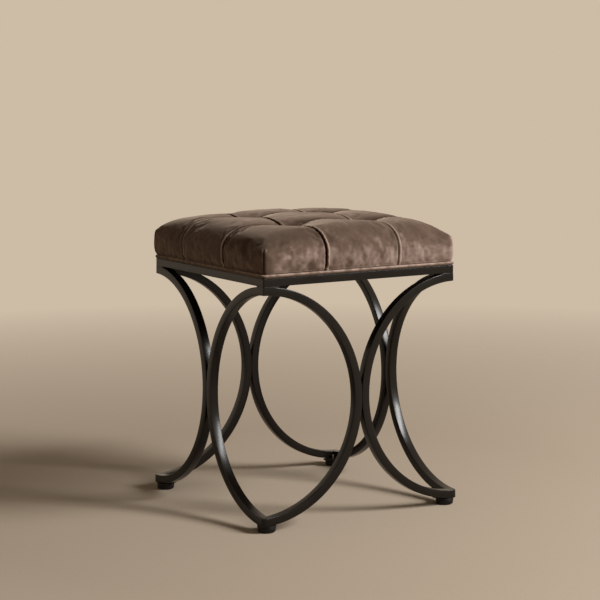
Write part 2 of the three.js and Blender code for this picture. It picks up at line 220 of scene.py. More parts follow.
# %% Make materials from nodes
def linear(hex_colour):
    """An sRGB hex colour as linear red, green, blue and alpha."""
    channels = np.array([int(hex_colour[i:i + 2], 16) for i in (1, 3, 5)]) / 255
    low, high = channels / 12.92, ((channels + 0.055) / 1.055) ** 2.4
    return [*np.where(channels <= 0.04045, low, high).tolist(), 1.0]


def set_sockets(made, inputs):
    """Gives sockets of a node a value each, or a link where the value is (node, output)."""
    for socket, value in inputs.items():
        if isinstance(value, tuple) and isinstance(value[0], bpy.types.Node):
            made.id_data.links.new(value[0].outputs[value[1]], made.inputs[socket])
        else:
            made.inputs[socket].default_value = value


def node(tree, kind, inputs=None, stops=(), **settings):
    """Adds a node with its sockets and settings. stops, for a node that has a colour ramp, are its
    (place, hex colour) pairs."""
    made = tree.nodes.new(kind)
    for key, value in settings.items():
        setattr(made, key, value)
    set_sockets(made, inputs or {})
    if stops:
        elements = made.color_ramp.elements
        while len(elements) < len(stops):
            elements.new(0.5)
        for element, (place, colour) in zip(elements, stops):
            element.position = place
            element.color = linear(colour)
    return made


def new_material(name):
    """A material with only its shader, as (material, tree, shader)."""
    material = bpy.data.materials.new(name)
    material.use_nodes = True
    return material, material.node_tree, material.node_tree.nodes["Principled BSDF"]


print("Middle grey in linear light:", round(linear("#808080")[0], 3))

# %% [markdown]
# ## Powder-coated steel
#
# The bars are mild steel under a baked powder coat, nearly black with a warm cast. A powder coat
# is a plastic film, so it isn't metallic: it has a soft, broad highlight, and a very fine orange
# peel where the powder flowed together. The peel is about two millimetres across and a few
# hundredths deep. Slight changes in roughness keep the long bars from looking like plastic
# extrusions.

# %% Powder coat
POWDER_PEEL = 2.2 * MM
POWDER_CLOUD = 60 * MM


def powder_coated_steel():
    """Orange peel as bump, and slow changes of tone and gloss."""
    material, tree, shader = new_material("powder_coated_steel")
    place = (node(tree, "ShaderNodeTexCoord"), "Object")
    peel = node(tree, "ShaderNodeTexNoise", {
        "Vector": place, "Scale": 1 / POWDER_PEEL, "Detail": 1.5, "Roughness": 0.4})
    cloud = node(tree, "ShaderNodeTexNoise", {
        "Vector": place, "Scale": 1 / POWDER_CLOUD, "Detail": 4.0, "Roughness": 0.55})
    tone = node(tree, "ShaderNodeValToRGB", {"Fac": (cloud, "Fac")},
                stops=[(0.3, "#100c09"), (0.7, "#17120e")])
    gloss = node(tree, "ShaderNodeMapRange", {
        "Value": (cloud, "Fac"), "From Min": 0.3, "From Max": 0.7, "To Min": 0.2, "To Max": 0.27})
    bump = node(tree, "ShaderNodeBump", {
        "Height": (peel, "Fac"), "Strength": 0.25, "Distance": 0.05 * MM})
    set_sockets(shader, {
        "IOR": 1.5, "Specular IOR Level": 0.27, "Base Color": (tone, "Color"),
        "Roughness": (gloss, "Result"), "Normal": (bump, "Normal")})
    return material


steel = powder_coated_steel()
print("Powder coat peel:", POWDER_PEEL / MM, "mm")

# %% [markdown]
# ## Small hard finishes
#
# The glides are moulded nylon, matt with a faint grain from the mould. Screws and staples are
# zinc-plated or galvanised steel, which is real metal with a cool grey reflection broken up by
# fine scratches. The seat board is birch plywood. They show only from below, but a maker who
# turns the stool over meets them first.

# %% Nylon, zinc plate and plywood
NYLON_GRAIN = 0.6 * MM
ZINC_SPANGLE = 1.5 * MM
GRAIN_WIDTH = 4 * MM
GRAIN_STRETCH = 14


def moulded_nylon():
    """A faint mould grain in the surface and in its gloss."""
    material, tree, shader = new_material("moulded_nylon")
    place = (node(tree, "ShaderNodeTexCoord"), "Object")
    grain = node(tree, "ShaderNodeTexNoise", {
        "Vector": place, "Scale": 1 / NYLON_GRAIN, "Detail": 2.0})
    tone = node(tree, "ShaderNodeValToRGB", {"Fac": (grain, "Fac")},
                stops=[(0.35, "#0a0807"), (0.7, "#100e0c")])
    gloss = node(tree, "ShaderNodeMapRange", {
        "Value": (grain, "Fac"), "To Min": 0.42, "To Max": 0.56})
    bump = node(tree, "ShaderNodeBump", {
        "Height": (grain, "Fac"), "Strength": 0.3, "Distance": 0.04 * MM})
    set_sockets(shader, {
        "IOR": 1.53, "Specular IOR Level": 0.22, "Base Color": (tone, "Color"),
        "Roughness": (gloss, "Result"), "Normal": (bump, "Normal")})
    return material


def zinc_plated_steel():
    """Grey metal with small crystals that differ in tone and gloss."""
    material, tree, shader = new_material("zinc_plated_steel")
    place = (node(tree, "ShaderNodeTexCoord"), "Object")
    crystal = node(tree, "ShaderNodeTexVoronoi", {"Vector": place, "Scale": 1 / ZINC_SPANGLE})
    tone = node(tree, "ShaderNodeValToRGB", {"Fac": (crystal, "Color")},
                stops=[(0.2, "#9d9b95"), (0.9, "#c2c0b8")])
    gloss = node(tree, "ShaderNodeMapRange", {
        "Value": (crystal, "Color"), "To Min": 0.3, "To Max": 0.45})
    set_sockets(shader, {
        "Metallic": 1.0, "Base Color": (tone, "Color"), "Roughness": (gloss, "Result")})
    return material


def birch_plywood():
    """Long grain along x: noise that is stretched, in three tones from early to late wood."""
    material, tree, shader = new_material("birch_plywood")
    place = (node(tree, "ShaderNodeTexCoord"), "Object")
    stretch = node(tree, "ShaderNodeMapping", {
        "Vector": place, "Scale": (1.0, GRAIN_STRETCH, GRAIN_STRETCH)})
    figure = node(tree, "ShaderNodeTexNoise", {
        "Vector": (stretch, "Vector"), "Scale": 1 / (GRAIN_WIDTH * GRAIN_STRETCH),
        "Detail": 6.0, "Distortion": 0.6})
    tone = node(tree, "ShaderNodeValToRGB", {"Fac": (figure, "Fac")},
                stops=[(0.3, "#a37a4a"), (0.5, "#bd965f"), (0.7, "#cba873")])
    gloss = node(tree, "ShaderNodeMapRange", {
        "Value": (figure, "Fac"), "To Min": 0.62, "To Max": 0.78})
    bump = node(tree, "ShaderNodeBump", {
        "Height": (figure, "Fac"), "Strength": 0.2, "Distance": 0.1 * MM})
    set_sockets(shader, {
        "IOR": 1.45, "Base Color": (tone, "Color"), "Roughness": (gloss, "Result"),
        "Normal": (bump, "Normal")})
    return material


nylon = moulded_nylon()
zinc = zinc_plated_steel()
plywood = birch_plywood()
print("Hard finishes:", [m.name for m in (nylon, zinc, plywood)])

# %% [markdown]
# ## Velvet
#
# Velvet is a woven cloth with a short, dense pile that stands up from it. Seen straight on, the
# eye looks down between the fibres and the cloth is dark. Seen from the side, or where a light
# catches the tips, it is pale. The shader's sheen gives that rim of light. The rest of the look is
# nap: a hand or an iron leaves the pile lying one way here and another way there, in soft patches
# one to three centimetres across. The mesh carries three attributes for it. The nap says how far
# the pile lies down on a stretch of the cover, and also carries painted light and shade. The crease
# is painted shade in the clefts, and the edge is a painted highlight on folds, puckers, a dart's
# rim and the welt. The UV map holds distances along the cloth, so that the patches follow it over
# the edge of the seat.
#
# The pile itself is finer than a pixel, so it is drawn as coarse as it needs to show: a grain of
# about a millimetre.

# %% Velvet
VELVET_PATCH = 26 * MM
VELVET_STREAK = 11 * MM
VELVET_GRAIN = 1.1 * MM
VELVET_DARK = "#4b3b31"
VELVET_MIDDLE = "#6b584c"
VELVET_LIGHT = "#9d887d"
# VELVET_DARK to VELVET_LIGHT are the pile's own tones. The crease colour is painted shade, and the edge
# colour is a painted highlight.
VELVET_CREASE_SHADE = "#341c0e"
VELVET_HIGHLIGHT = "#c4ab9b"
VELVET_SHEEN = "#d9c3ae"
VELVET_NAP_SHARE = 0.75


def crushed_velvet():
    """Pile patches on the cloth's own UV map, shifted between dark and pale by the nap, which also
    carries painted light and shade. Three noises are added up, weighted by the nap, and added to it.
    The sum picks the tone, over which the edge lays a painted highlight and the crease a painted shade."""
    material, tree, shader = new_material("crushed_velvet")
    cloth = (node(tree, "ShaderNodeUVMap", uv_map="cloth"), "UV")
    nap_and_light, crease_shade, edge = (node(tree, "ShaderNodeAttribute", attribute_name=name)
                         for name in ("nap_and_light", "crease_shade", "edge"))
    patch = node(tree, "ShaderNodeTexNoise", {
        "Vector": cloth, "Scale": 1 / VELVET_PATCH, "Detail": 5.0, "Roughness": 0.62,
        "Distortion": 1.1})
    streak = node(tree, "ShaderNodeTexNoise", {
        "Vector": cloth, "Scale": 1 / VELVET_STREAK, "Detail": 3.0, "Roughness": 0.6,
        "Distortion": 0.5})
    grain = node(tree, "ShaderNodeTexNoise", {
        "Vector": cloth, "Scale": 1 / VELVET_GRAIN, "Detail": 2.0})
    patches, streaks, grains = (
        node(tree, "ShaderNodeMapRange", {
            "Value": (noise, "Fac"), "From Min": 0.5 - range_half, "From Max": 0.5 + range_half,
            "To Min": -weight, "To Max": weight})
        for noise, range_half, weight in [(patch, 0.18, 0.2), (streak, 0.2, 0.1), (grain, 0.2, 0.05)])
    mottled = node(tree, "ShaderNodeMath", {0: (patches, "Result"), 1: (streaks, "Result")},
                   operation="ADD")
    mottle = node(tree, "ShaderNodeMath", {0: (mottled, "Value"), 1: (grains, "Result")},
                  operation="ADD")
    strength = node(tree, "ShaderNodeMapRange", {"Value": (nap_and_light, "Fac"), "To Min": 0.35, "To Max": 1.0})
    part = node(tree, "ShaderNodeMath", {0: (mottle, "Value"), 1: (strength, "Result")},
                operation="MULTIPLY")
    lean = node(tree, "ShaderNodeMapRange", {
        "Value": (nap_and_light, "Fac"), "To Min": 0.5 - VELVET_NAP_SHARE / 2, "To Max": 0.5 + VELVET_NAP_SHARE / 2})
    level = node(tree, "ShaderNodeMath", {0: (lean, "Result"), 1: (part, "Value")},
                 operation="ADD", use_clamp=True)
    tone = node(tree, "ShaderNodeValToRGB", {"Fac": (level, "Value")},
                stops=[(0.0, VELVET_DARK), (0.5, VELVET_MIDDLE), (1.0, VELVET_LIGHT)])
    # The edge attribute mixes in a painted highlight, then the crease attribute mixes in a painted shade.
    highlighted = node(tree, "ShaderNodeMix", {0: (edge, "Fac"), 6: (tone, "Color"), 7: linear(VELVET_HIGHLIGHT)},
                 data_type="RGBA")
    colour = node(tree, "ShaderNodeMix", {0: (crease_shade, "Fac"), 6: (highlighted, 2), 7: linear(VELVET_CREASE_SHADE)},
                  data_type="RGBA")
    bump = node(tree, "ShaderNodeBump", {
        "Height": (grain, "Fac"), "Strength": 0.35, "Distance": 0.25 * MM})
    set_sockets(shader, {
        "IOR": 1.4, "Specular IOR Level": 0.12, "Roughness": 0.88, "Sheen Weight": 0.66,
        "Sheen Roughness": 0.38, "Sheen Tint": linear(VELVET_SHEEN), "Base Color": (colour, 2),
        "Normal": (bump, "Normal")})
    return material


velvet = crushed_velvet()
print("Velvet patches:", VELVET_PATCH / MM, "mm across")

# %% [markdown]
# ## Rails of the top frame
#
# The seat stands on a square frame of four rails, mitred and welded at the corners, with the
# welds ground flush. Each rail is a bar with round edges, so it is built as a section carried
# along a line. The section is a rectangle whose four corners are arcs, and each corner has its
# own radius, which may change along the bar: where the curved bars are welded under the rail, the
# edges between them are filled and the radius runs out to nothing.
#
# A bar that ends on a mitre has a simple rule: at depth d behind the outer face, it ends d short
# of the corner. So each line of the surface runs from its own mitre point to the other.

# %% Sizes taken from the frame
rail_low, rail_high = np.array(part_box("rail_front"))
bar_low, _ = np.array(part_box("curved_bar_front_right"))
HALF = -rail_low[1]
BAR_DEPTH = rail_high[1] - rail_low[1]
RAIL_HEIGHT = rail_high[2] - rail_low[2]
RAIL_BOTTOM = rail_low[2]
FRAME_TOP = rail_high[2]
FOOT_HEIGHT = bar_low[2]
BAR_MIDDLE = (RAIL_BOTTOM + FOOT_HEIGHT) / 2
BAR_HALF_HEIGHT = (RAIL_BOTTOM - FOOT_HEIGHT) / 2
FOOT_SPLAY = (-bar_low[1] - HALF) * RAIL_BOTTOM / (RAIL_BOTTOM - FOOT_HEIGHT)
BAR_THICKNESS = 14 * MM
EDGE_RADIUS = 1.1 * MM
WELDED_RADIUS = 0.12 * MM
WELD_LENGTH = 19 * MM
WELD_RUN_OUT = 9 * MM
TOP_EDGE_RADIUS = 0.5 * MM
TOP_CORNER_RADIUS = 1.5 * MM
FOOT_CORNER_RADIUS = 7 * MM
MITRE_GROOVE_DEPTH = 0.45 * MM
MITRE_GROOVE_WIDTH = 0.8 * MM
print("Half width", HALF, "depth", BAR_DEPTH, "splay", round(float(FOOT_SPLAY), 5))


# %% A section carried from mitre to mitre
ARC_STEPS = 4


def round_section(height, depth, radii):
    """The outline of a rectangle with round corners, as a height and a depth for each point.

    radii holds the radius of the corners at (0, 0), (0, depth), (height, depth) and (height, 0),
    as numbers or as columns with one value for each place along the bar."""
    heights, depths = [], []
    corners = [(0, 0), (0, 1), (1, 1), (1, 0)]
    for number, ((at_height, at_depth), radius) in enumerate(zip(corners, radii)):
        angle = (3 - number) * math.pi / 2 - np.linspace(0, math.pi / 2, ARC_STEPS + 1)[None, :]
        radius = np.reshape(radius, (-1, 1))
        middle_height = at_height * height + (1 - 2 * at_height) * radius
        middle_depth = at_depth * depth + (1 - 2 * at_depth) * radius
        heights.append(middle_height + radius * np.cos(angle))
        depths.append(middle_depth + radius * np.sin(angle))
    count = max(h.shape[0] for h in heights)
    full = [np.broadcast_to(a, (count, a.shape[1])) for a in heights + depths]
    return np.concatenate(full[:4], axis=1), np.concatenate(full[4:], axis=1)


def welded_radius(from_corner, welded=1):
    """The radius of an edge beside a weld: least along the weld, then running out to its own."""
    filled = welded * (1 - smooth_step(from_corner, WELD_LENGTH, WELD_LENGTH + WELD_RUN_OUT))
    return EDGE_RADIUS + (WELDED_RADIUS - EDGE_RADIUS) * filled


def rounded_corner(x, depth, radius):
    """Bends the outer vertical edge of a corner: the square outside the arc's middle becomes a
    quarter disc, by drawing each point in by its larger side over its distance."""
    along = np.maximum(x - (HALF - radius), 0)
    out = np.maximum(radius - depth, 0)
    far = np.hypot(along, out)
    scale = np.where((along > 0) & (out > 0), np.maximum(along, out) / np.maximum(far, TINY), 1)
    return (np.where(along > 0, HALF - radius + along * scale, x),
            np.where(out > 0, radius - out * scale, depth))


def mitre_groove(x, depth):
    """The fine ground line of a mitre weld: the outer skin dips within a millimetre of it."""
    near = np.clip(1 - np.abs(HALF - depth - x) / MITRE_GROOVE_WIDTH, 0, 1)
    skin = np.clip(1 - depth / (EDGE_RADIUS * 2), 0, 1)
    return MITRE_GROOVE_DEPTH * near * skin


def splay_growth(z):
    """The sides lean out below the frame, so plan sizes grow by this factor towards the floor."""
    return 1 + FOOT_SPLAY * np.maximum(RAIL_BOTTOM - z, 0) / RAIL_BOTTOM / HALF


def capped_tube(points):
    """The faces of a tube of rings (rows) of points, with a flat face at each end."""
    rows, columns = points.shape[:2]
    first = list(range(columns))
    last = [(rows - 1) * columns + i for i in first]
    return grid_faces(rows, columns, wrap_columns=True).tolist() + [first[::-1], last]


def dense_at_ends(count):
    """Numbers from -1 to 1 that lie close together at both ends: 1.5 q - 0.5 q^3."""
    q = np.linspace(-1, 1, count)
    return 1.5 * q - 0.5 * q ** 3


print("A bar's section has", 4 * (ARC_STEPS + 1), "points")

# %% Rails
RAIL_STEPS = 61


def rail_points():
    """A front rail: each line of its section runs between the two mitre planes."""
    share = dense_at_ends(RAIL_STEPS)[:, None]
    lower = welded_radius((1 - np.abs(share)) * HALF)
    height, depth = round_section(RAIL_HEIGHT, BAR_DEPTH, [lower, lower, EDGE_RADIUS, TOP_EDGE_RADIUS])
    x = np.abs(share) * (HALF - depth)
    groove = mitre_groove(x, depth)
    bent, depth = rounded_corner(x - groove, depth + groove, TOP_CORNER_RADIUS)
    return np.stack([np.sign(share) * bent, depth - HALF, RAIL_BOTTOM + height], axis=-1)


for side, name in enumerate(SIDES):
    points = quarter_turned(rail_points(), side)
    rail = face_outward(make_piece(f"top_rail_{name}", points, capped_tube(points), steel))
    settle(rail, "frame_steel", f"rail_{name}")
print("Four rails of", RAIL_STEPS, "rings each")

# %% [markdown]
# ## Curved bars
#
# Each curved bar is bent to half an ellipse. Its middle lies on the corner's own vertical line, so
# that the bar starts level under the frame, bows in towards the middle of its side and comes back
# level at the foot. The formula is the ellipse with a turn angle from -90 to +90 degrees: the
# reach from the corner is the cosine, and the height is the sine. As with the rails, the line at
# depth d stops where the reach is d, on the mitre.
#
# The whole side leans out towards the floor, which the splay does last. At the foot the two bars
# meet in a welded corner that is ground to a larger radius than the one at the top.

# %% Curved bars
BAR_STEPS = 141


def curved_bar_points(toward):
    """A front bar that bows away from the corner at +x (toward 1) or -x (toward -1)."""
    share = dense_at_ends(BAR_STEPS)[:, None]
    outer = welded_radius(HALF * np.cos(share * math.pi / 2), welded=share > 0)
    inset, depth = round_section(BAR_THICKNESS, BAR_DEPTH, [outer, outer, EDGE_RADIUS, EDGE_RADIUS])
    turn = share * np.arccos(depth / (HALF - inset))
    x = HALF - (HALF - inset) * np.cos(turn)
    z = BAR_MIDDLE + (BAR_HALF_HEIGHT - inset) * np.sin(turn)
    corner = np.where(share > 0, TOP_CORNER_RADIUS, FOOT_CORNER_RADIUS)
    groove = mitre_groove(x, depth) * (share > 0)
    x, depth = rounded_corner(x - groove, depth + groove, corner)
    growth = splay_growth(z)
    return np.stack([toward * x * growth, (depth - HALF) * growth, z], axis=-1)


for side, name in enumerate(SIDES):
    for toward, other in [(1, SIDES[(side + 1) % 4]), (-1, SIDES[side - 1])]:
        points = quarter_turned(curved_bar_points(toward), side)
        bar = face_outward(make_piece(f"bent_bar_{name}_{other}", points, capped_tube(points), steel))
        settle(bar, "frame_steel", f"curved_bar_{name}_{other}")
print("Eight curved bars of", BAR_STEPS, "rings each")

# %% [markdown]
# ## Welds
#
# Three kinds of weld show on a close look. Under the rail, the thin wedge between rail and curved
# bar is filled for the first two centimetres. Half way up each side the two bars touch, and a weld
# fills the narrow gap above and below that point. Under the corner plates a bead runs along each
# rail, with the ripples that a welder's hand leaves. The first two are thin solids between two
# surfaces that are already known, and the bead is a tube whose radius ripples along it.

# %% Welds
WELD_RINGS = 12
WELD_START = 2 * MM
WELD_SET_BACK = 0.25 * MM
WELD_HOLLOW = 0.8 * MM
MEETING_RINGS = 25
MEETING_WELD_HALF = 21 * MM
MEETING_SET_BACK = 1.5 * MM
MEETING_OVERLAP = 0.9 * MM
BEAD_RINGS, BEAD_SIDES = 40, 10
BEAD_RADIUS = 1.9 * MM
BEAD_SINK_SHARE = 0.3
BEAD_RIPPLE = 0.16
BEAD_PITCH = 2.3 * MM
BEAD_START = 9 * MM
BEAD_END = 42 * MM
BEAD_END_POWER = 8
# The least share of a bead's or a stitch's section, so that its ends stay open rings.
BLUNT_END = 0.05


def box_rings(low, high, x):
    """A tube of rectangles: at each x it spans low..high in depth and height, two rows of pairs."""
    (depth_low, z_low), (depth_high, z_high) = low, high
    x = np.broadcast_to(x, np.shape(z_low))
    ring = [(depth_low, z_low), (depth_high, z_low), (depth_high, z_high), (depth_low, z_high)]
    return np.stack([np.stack(np.broadcast_arrays(x, d - HALF, z), axis=-1) for d, z in ring], axis=1)


def rail_weld(toward):
    """The filled wedge between a rail's underside and the top of a curved bar."""
    from_corner = np.linspace(WELD_START, WELD_LENGTH + WELD_RUN_OUT / 2, WELD_RINGS)
    drop = BAR_HALF_HEIGHT * (1 - np.sqrt(1 - (from_corner / HALF) ** 2))
    depth_high = np.minimum(from_corner, BAR_DEPTH) - WELD_SET_BACK
    hollow = WELD_SET_BACK + WELD_HOLLOW * smooth_step(from_corner, WELD_LENGTH, from_corner[-1])
    rings = box_rings((hollow, RAIL_BOTTOM - drop - hollow), (depth_high, RAIL_BOTTOM + hollow),
                      toward * (HALF - from_corner))
    return rings, capped_tube(rings)


def meeting_weld():
    """Fills the gap between the two bars of a side, above and below the point where they touch."""
    height = np.linspace(-MEETING_WELD_HALF, MEETING_WELD_HALF, MEETING_RINGS)
    gap = HALF * (1 - np.sqrt(1 - (height / BAR_HALF_HEIGHT) ** 2)) + WELD_SET_BACK + MEETING_OVERLAP
    z = BAR_MIDDLE + height
    hollow = MEETING_SET_BACK * (0.75 + 0.5 * (height / MEETING_WELD_HALF) ** 2)
    growth = splay_growth(z)
    ring = [(-gap, hollow), (gap, hollow), (gap, BAR_DEPTH - hollow), (-gap, BAR_DEPTH - hollow)]
    rings = np.stack([np.stack([x * growth, (d - HALF) * growth, z], axis=-1) for x, d in ring], axis=1)
    return rings, capped_tube(rings)


def bead(start, end):
    """A rippled tube from start to end: its radius swings with the pitch of the ripples."""
    start, end = np.asarray(start), np.asarray(end)
    length = np.linalg.norm(end - start)
    along = np.linspace(0, 1, BEAD_RINGS)[:, None, None]
    turn = np.linspace(0, 2 * math.pi, BEAD_SIDES, endpoint=False)[None, :, None]
    direction = (end - start) / length
    sideways = np.cross(direction, [0, 0, 1])
    upward = np.cross(sideways, direction)
    taper = np.sqrt(np.clip(1 - (2 * along - 1) ** BEAD_END_POWER, BLUNT_END, 1))
    radius = BEAD_RADIUS * taper * (1 + BEAD_RIPPLE * np.sin(2 * math.pi * along * length / BEAD_PITCH))
    rings = start + along * (end - start) + radius * (np.cos(turn) * sideways + np.sin(turn) * upward)
    return rings, capped_tube(rings)


plate_low, plate_high = np.array(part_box("corner_plate_front_left"))
PLATE_BOTTOM = plate_low[2]


def corner_beads():
    """Two beads under a corner plate, along the rails that it is welded to."""
    inner = -HALF + BAR_DEPTH
    bead_z = PLATE_BOTTOM - BEAD_RADIUS * BEAD_SINK_SHARE
    return [bead((inner, inner + BEAD_START, bead_z), (inner, inner + BEAD_END, bead_z)),
            bead((inner + BEAD_START, inner, bead_z), (inner + BEAD_END, inner, bead_z))]


for side, name in enumerate(SIDES):
    parts = [rail_weld(1), rail_weld(-1), meeting_weld(), *corner_beads()]
    points, faces = join_parts(parts)
    welds = face_outward(make_piece(f"welds_{name}", quarter_turned(points, side), faces, steel))
    settle(welds, "frame_steel")
print("Welds on four sides")

# %% [markdown]
# ## Plates, screws and glides
#
# A triangular plate in each top corner stiffens the frame and takes a screw up into the seat
# board. It is laser cut, so its edges are square with the sharpness just taken off. The plate is
# a ring-shaped surface round its screw hole: the same angles are used for the hole and for the
# outline, where each one is a ray from the hole to the edge.
#
# Screws and glides are turned shapes: a profile spun round an axis. The drive socket of a screw is
# the same idea with a radius that follows a hexagon instead of a circle.

# %% Corner plates
PLATE_TIP = 9 * MM
PLATE_EDGE = 0.5 * MM
RAY_STEPS = 96


def convex_reach(outline, middle, angle):
    """How far a ray at each angle goes from the middle before it leaves a convex outline."""
    start = np.asarray(outline) - middle
    edge = np.roll(start, -1, axis=0) - start
    normal = np.stack([edge[:, 1], -edge[:, 0]], axis=1)
    normal /= np.linalg.norm(normal, axis=1, keepdims=True)
    offset = np.einsum("ij,ij->i", normal, start)
    facing = np.stack([np.cos(angle), np.sin(angle)], axis=1) @ normal.T
    reach = np.where(facing > NEAR, offset / np.maximum(facing, NEAR), np.inf)
    return reach.min(axis=1)


def corner_plate_points(hole_middle, hole_radius):
    """Rings from the hole's edge over the top, round the outline and back underneath."""
    inner = -HALF + BAR_DEPTH
    leg = plate_high[0] - plate_low[0]
    outline = np.array([(0, 0), (leg, 0), (leg, PLATE_TIP), (PLATE_TIP, leg), (0, leg)]) + inner
    exact = np.arctan2(*(outline - hole_middle).T[::-1])
    angle = np.sort(np.concatenate([np.linspace(-math.pi, math.pi, RAY_STEPS, endpoint=False), exact]))
    reach = convex_reach(outline, hole_middle, angle)
    rings = [(hole_radius, PLATE_BOTTOM + PLATE_EDGE), (hole_radius, FRAME_TOP - PLATE_EDGE),
             (hole_radius + PLATE_EDGE, FRAME_TOP), (reach - PLATE_EDGE, FRAME_TOP),
             (reach, FRAME_TOP - PLATE_EDGE), (reach, PLATE_BOTTOM + PLATE_EDGE),
             (reach - PLATE_EDGE, PLATE_BOTTOM), (hole_radius + PLATE_EDGE, PLATE_BOTTOM)]
    return np.stack([np.stack([hole_middle[0] + r * np.cos(angle), hole_middle[1] + r * np.sin(angle),
                               np.full_like(angle, z)], axis=-1) for r, z in rings])


def closed_rings(points):
    """The faces of a surface that closes on itself in both directions."""
    rows, columns = points.shape[:2]
    faces = grid_faces(rows + 1, columns, wrap_columns=True)
    return (faces % (rows * columns)).tolist()


def middle_of(node_name):
    """The middle of a node's box in plan."""
    return np.mean(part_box(node_name), axis=0)[:2]


screw_low, screw_high = np.array(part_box("seat_screw_front_left"))
SEAT_SCREW_MIDDLE = middle_of("seat_screw_front_left")
SEAT_SCREW_RADIUS = 3.0 * MM
SEAT_HEAD_RADIUS = (screw_high[0] - screw_low[0]) / 2
SEAT_HEAD_BOTTOM = screw_low[2]
SCREW_CLEARANCE = 0.3 * MM

plate_points = corner_plate_points(SEAT_SCREW_MIDDLE, SEAT_SCREW_RADIUS + SCREW_CLEARANCE)
for side in range(4):
    corner = corner_name(side)
    plate = make_piece(f"gusset_{corner}", quarter_turned(plate_points, side),
                       closed_rings(plate_points), steel, smooth=False)
    settle(face_outward(plate), "frame_steel", f"corner_plate_{corner}")
    repaint(f"foot_plate_{corner}", steel)
print("Corner plates", round((FRAME_TOP - PLATE_BOTTOM) / MM, 2), "mm thick")

# %% Screws with a hexagon socket
TURN_STEPS = 48
SOCKET_SHARE = 0.46
SOCKET_DEPTH_SHARE = 0.6
SOCKET_DRAFT = 0.96
SOCKET_EDGE = (0.25 * MM, 0.2 * MM)
DOME_START = 0.68
DOME_RINGS = 6
DOME_SHARE = 0.75
TIP_RADIUS_SHARE = 0.6
TIP_LENGTH_SHARE = 0.5


def spun(profile, middle):
    """Rings of a turned shape: each (radius, height) of the profile is one ring.
    A radius may be an array with a value for each angle."""
    turn = np.linspace(0, 2 * math.pi, TURN_STEPS, endpoint=False)
    return np.stack([np.stack([middle[0] + r * np.cos(turn), middle[1] + r * np.sin(turn),
                               np.full(TURN_STEPS, z)], axis=-1) for r, z in profile])


def split_shading(piece, degrees=35):
    """Smooth shading, but not across edges that turn by more than this angle."""
    piece.data.shade_smooth()
    piece.data.set_sharp_from_angle(angle=math.radians(degrees))


def hexagon(radius):
    """The radius of a hexagon at each angle, radius being that of its inner circle."""
    turn = np.linspace(0, 2 * math.pi, TURN_STEPS, endpoint=False)
    return radius / np.cos(np.mod(turn, math.pi / 3) - math.pi / 6)


def socket_screw(middle, head_radius, head_bottom, head_top, shank_radius, tip):
    """A screw that points up: a domed head with a socket below, and a plain shank above. The dome
    is part of a quarter circle, pressed flatter."""
    head = head_top - head_bottom
    socket = hexagon(head_radius * SOCKET_SHARE)
    dome = [(head_radius * math.sin(a), head_bottom + head * (1 - math.cos(a)) * DOME_SHARE)
            for a in np.linspace(DOME_START, math.pi / 2, DOME_RINGS)]
    profile = [(socket * SOCKET_DRAFT, head_bottom + head * SOCKET_DEPTH_SHARE),
               (socket, head_bottom + SOCKET_EDGE[1]), (socket + SOCKET_EDGE[0], head_bottom), *dome,
               (head_radius, head_top), (shank_radius, head_top),
               (shank_radius, tip - shank_radius * TIP_LENGTH_SHARE),
               (shank_radius * TIP_RADIUS_SHARE, tip)]
    rings = spun(profile, middle)
    return rings, capped_tube(rings)


glide_low, glide_high = np.array(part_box("glide_front_left"))
pin_low, pin_high = np.array(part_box("glide_screw_front_left"))
GLIDE_MIDDLE = middle_of("glide_front_left")
GLIDE_RADIUS = (glide_high[0] - glide_low[0]) / 2
GLIDE_HEIGHT = glide_high[2]
GLIDE_SCREW_RADIUS = 2.5 * MM
GLIDE_HEAD_RADIUS = (pin_high[0] - pin_low[0]) / 2
GLIDE_HEAD_HEIGHT = 3 * MM

seat_screw = socket_screw(SEAT_SCREW_MIDDLE, SEAT_HEAD_RADIUS, SEAT_HEAD_BOTTOM, PLATE_BOTTOM,
                          SEAT_SCREW_RADIUS, screw_high[2])
glide_screw = socket_screw(GLIDE_MIDDLE, GLIDE_HEAD_RADIUS, pin_low[2], pin_low[2] + GLIDE_HEAD_HEIGHT,
                           GLIDE_SCREW_RADIUS, pin_high[2])
for side in range(4):
    corner = corner_name(side)
    for kind, (points, faces) in [("seat", seat_screw), ("glide", glide_screw)]:
        screw = make_piece(f"socket_screw_{kind}_{corner}", quarter_turned(points, side), faces, zinc)
        split_shading(face_outward(screw))
        settle(screw, "zinc_steel", f"{kind}_screw_{corner}")
    repaint(f"seat_nut_{corner}", zinc)
print("Screw heads", round(2 * SEAT_HEAD_RADIUS / MM, 1), "and", round(2 * GLIDE_HEAD_RADIUS / MM, 1), "mm")

# %% Glides
GLIDE_TAPER = 0.7 * MM
GLIDE_EDGE = 3.0 * MM
GLIDE_SHOULDER = 0.7 * MM
GROOVE_HEIGHT = 8.3 * MM
GROOVE_DEPTH = 0.5 * MM
GROOVE_LIP = 0.2 * MM
GROOVE_DRAFT = 0.1 * MM
POCKET_EDGE = 0.4 * MM


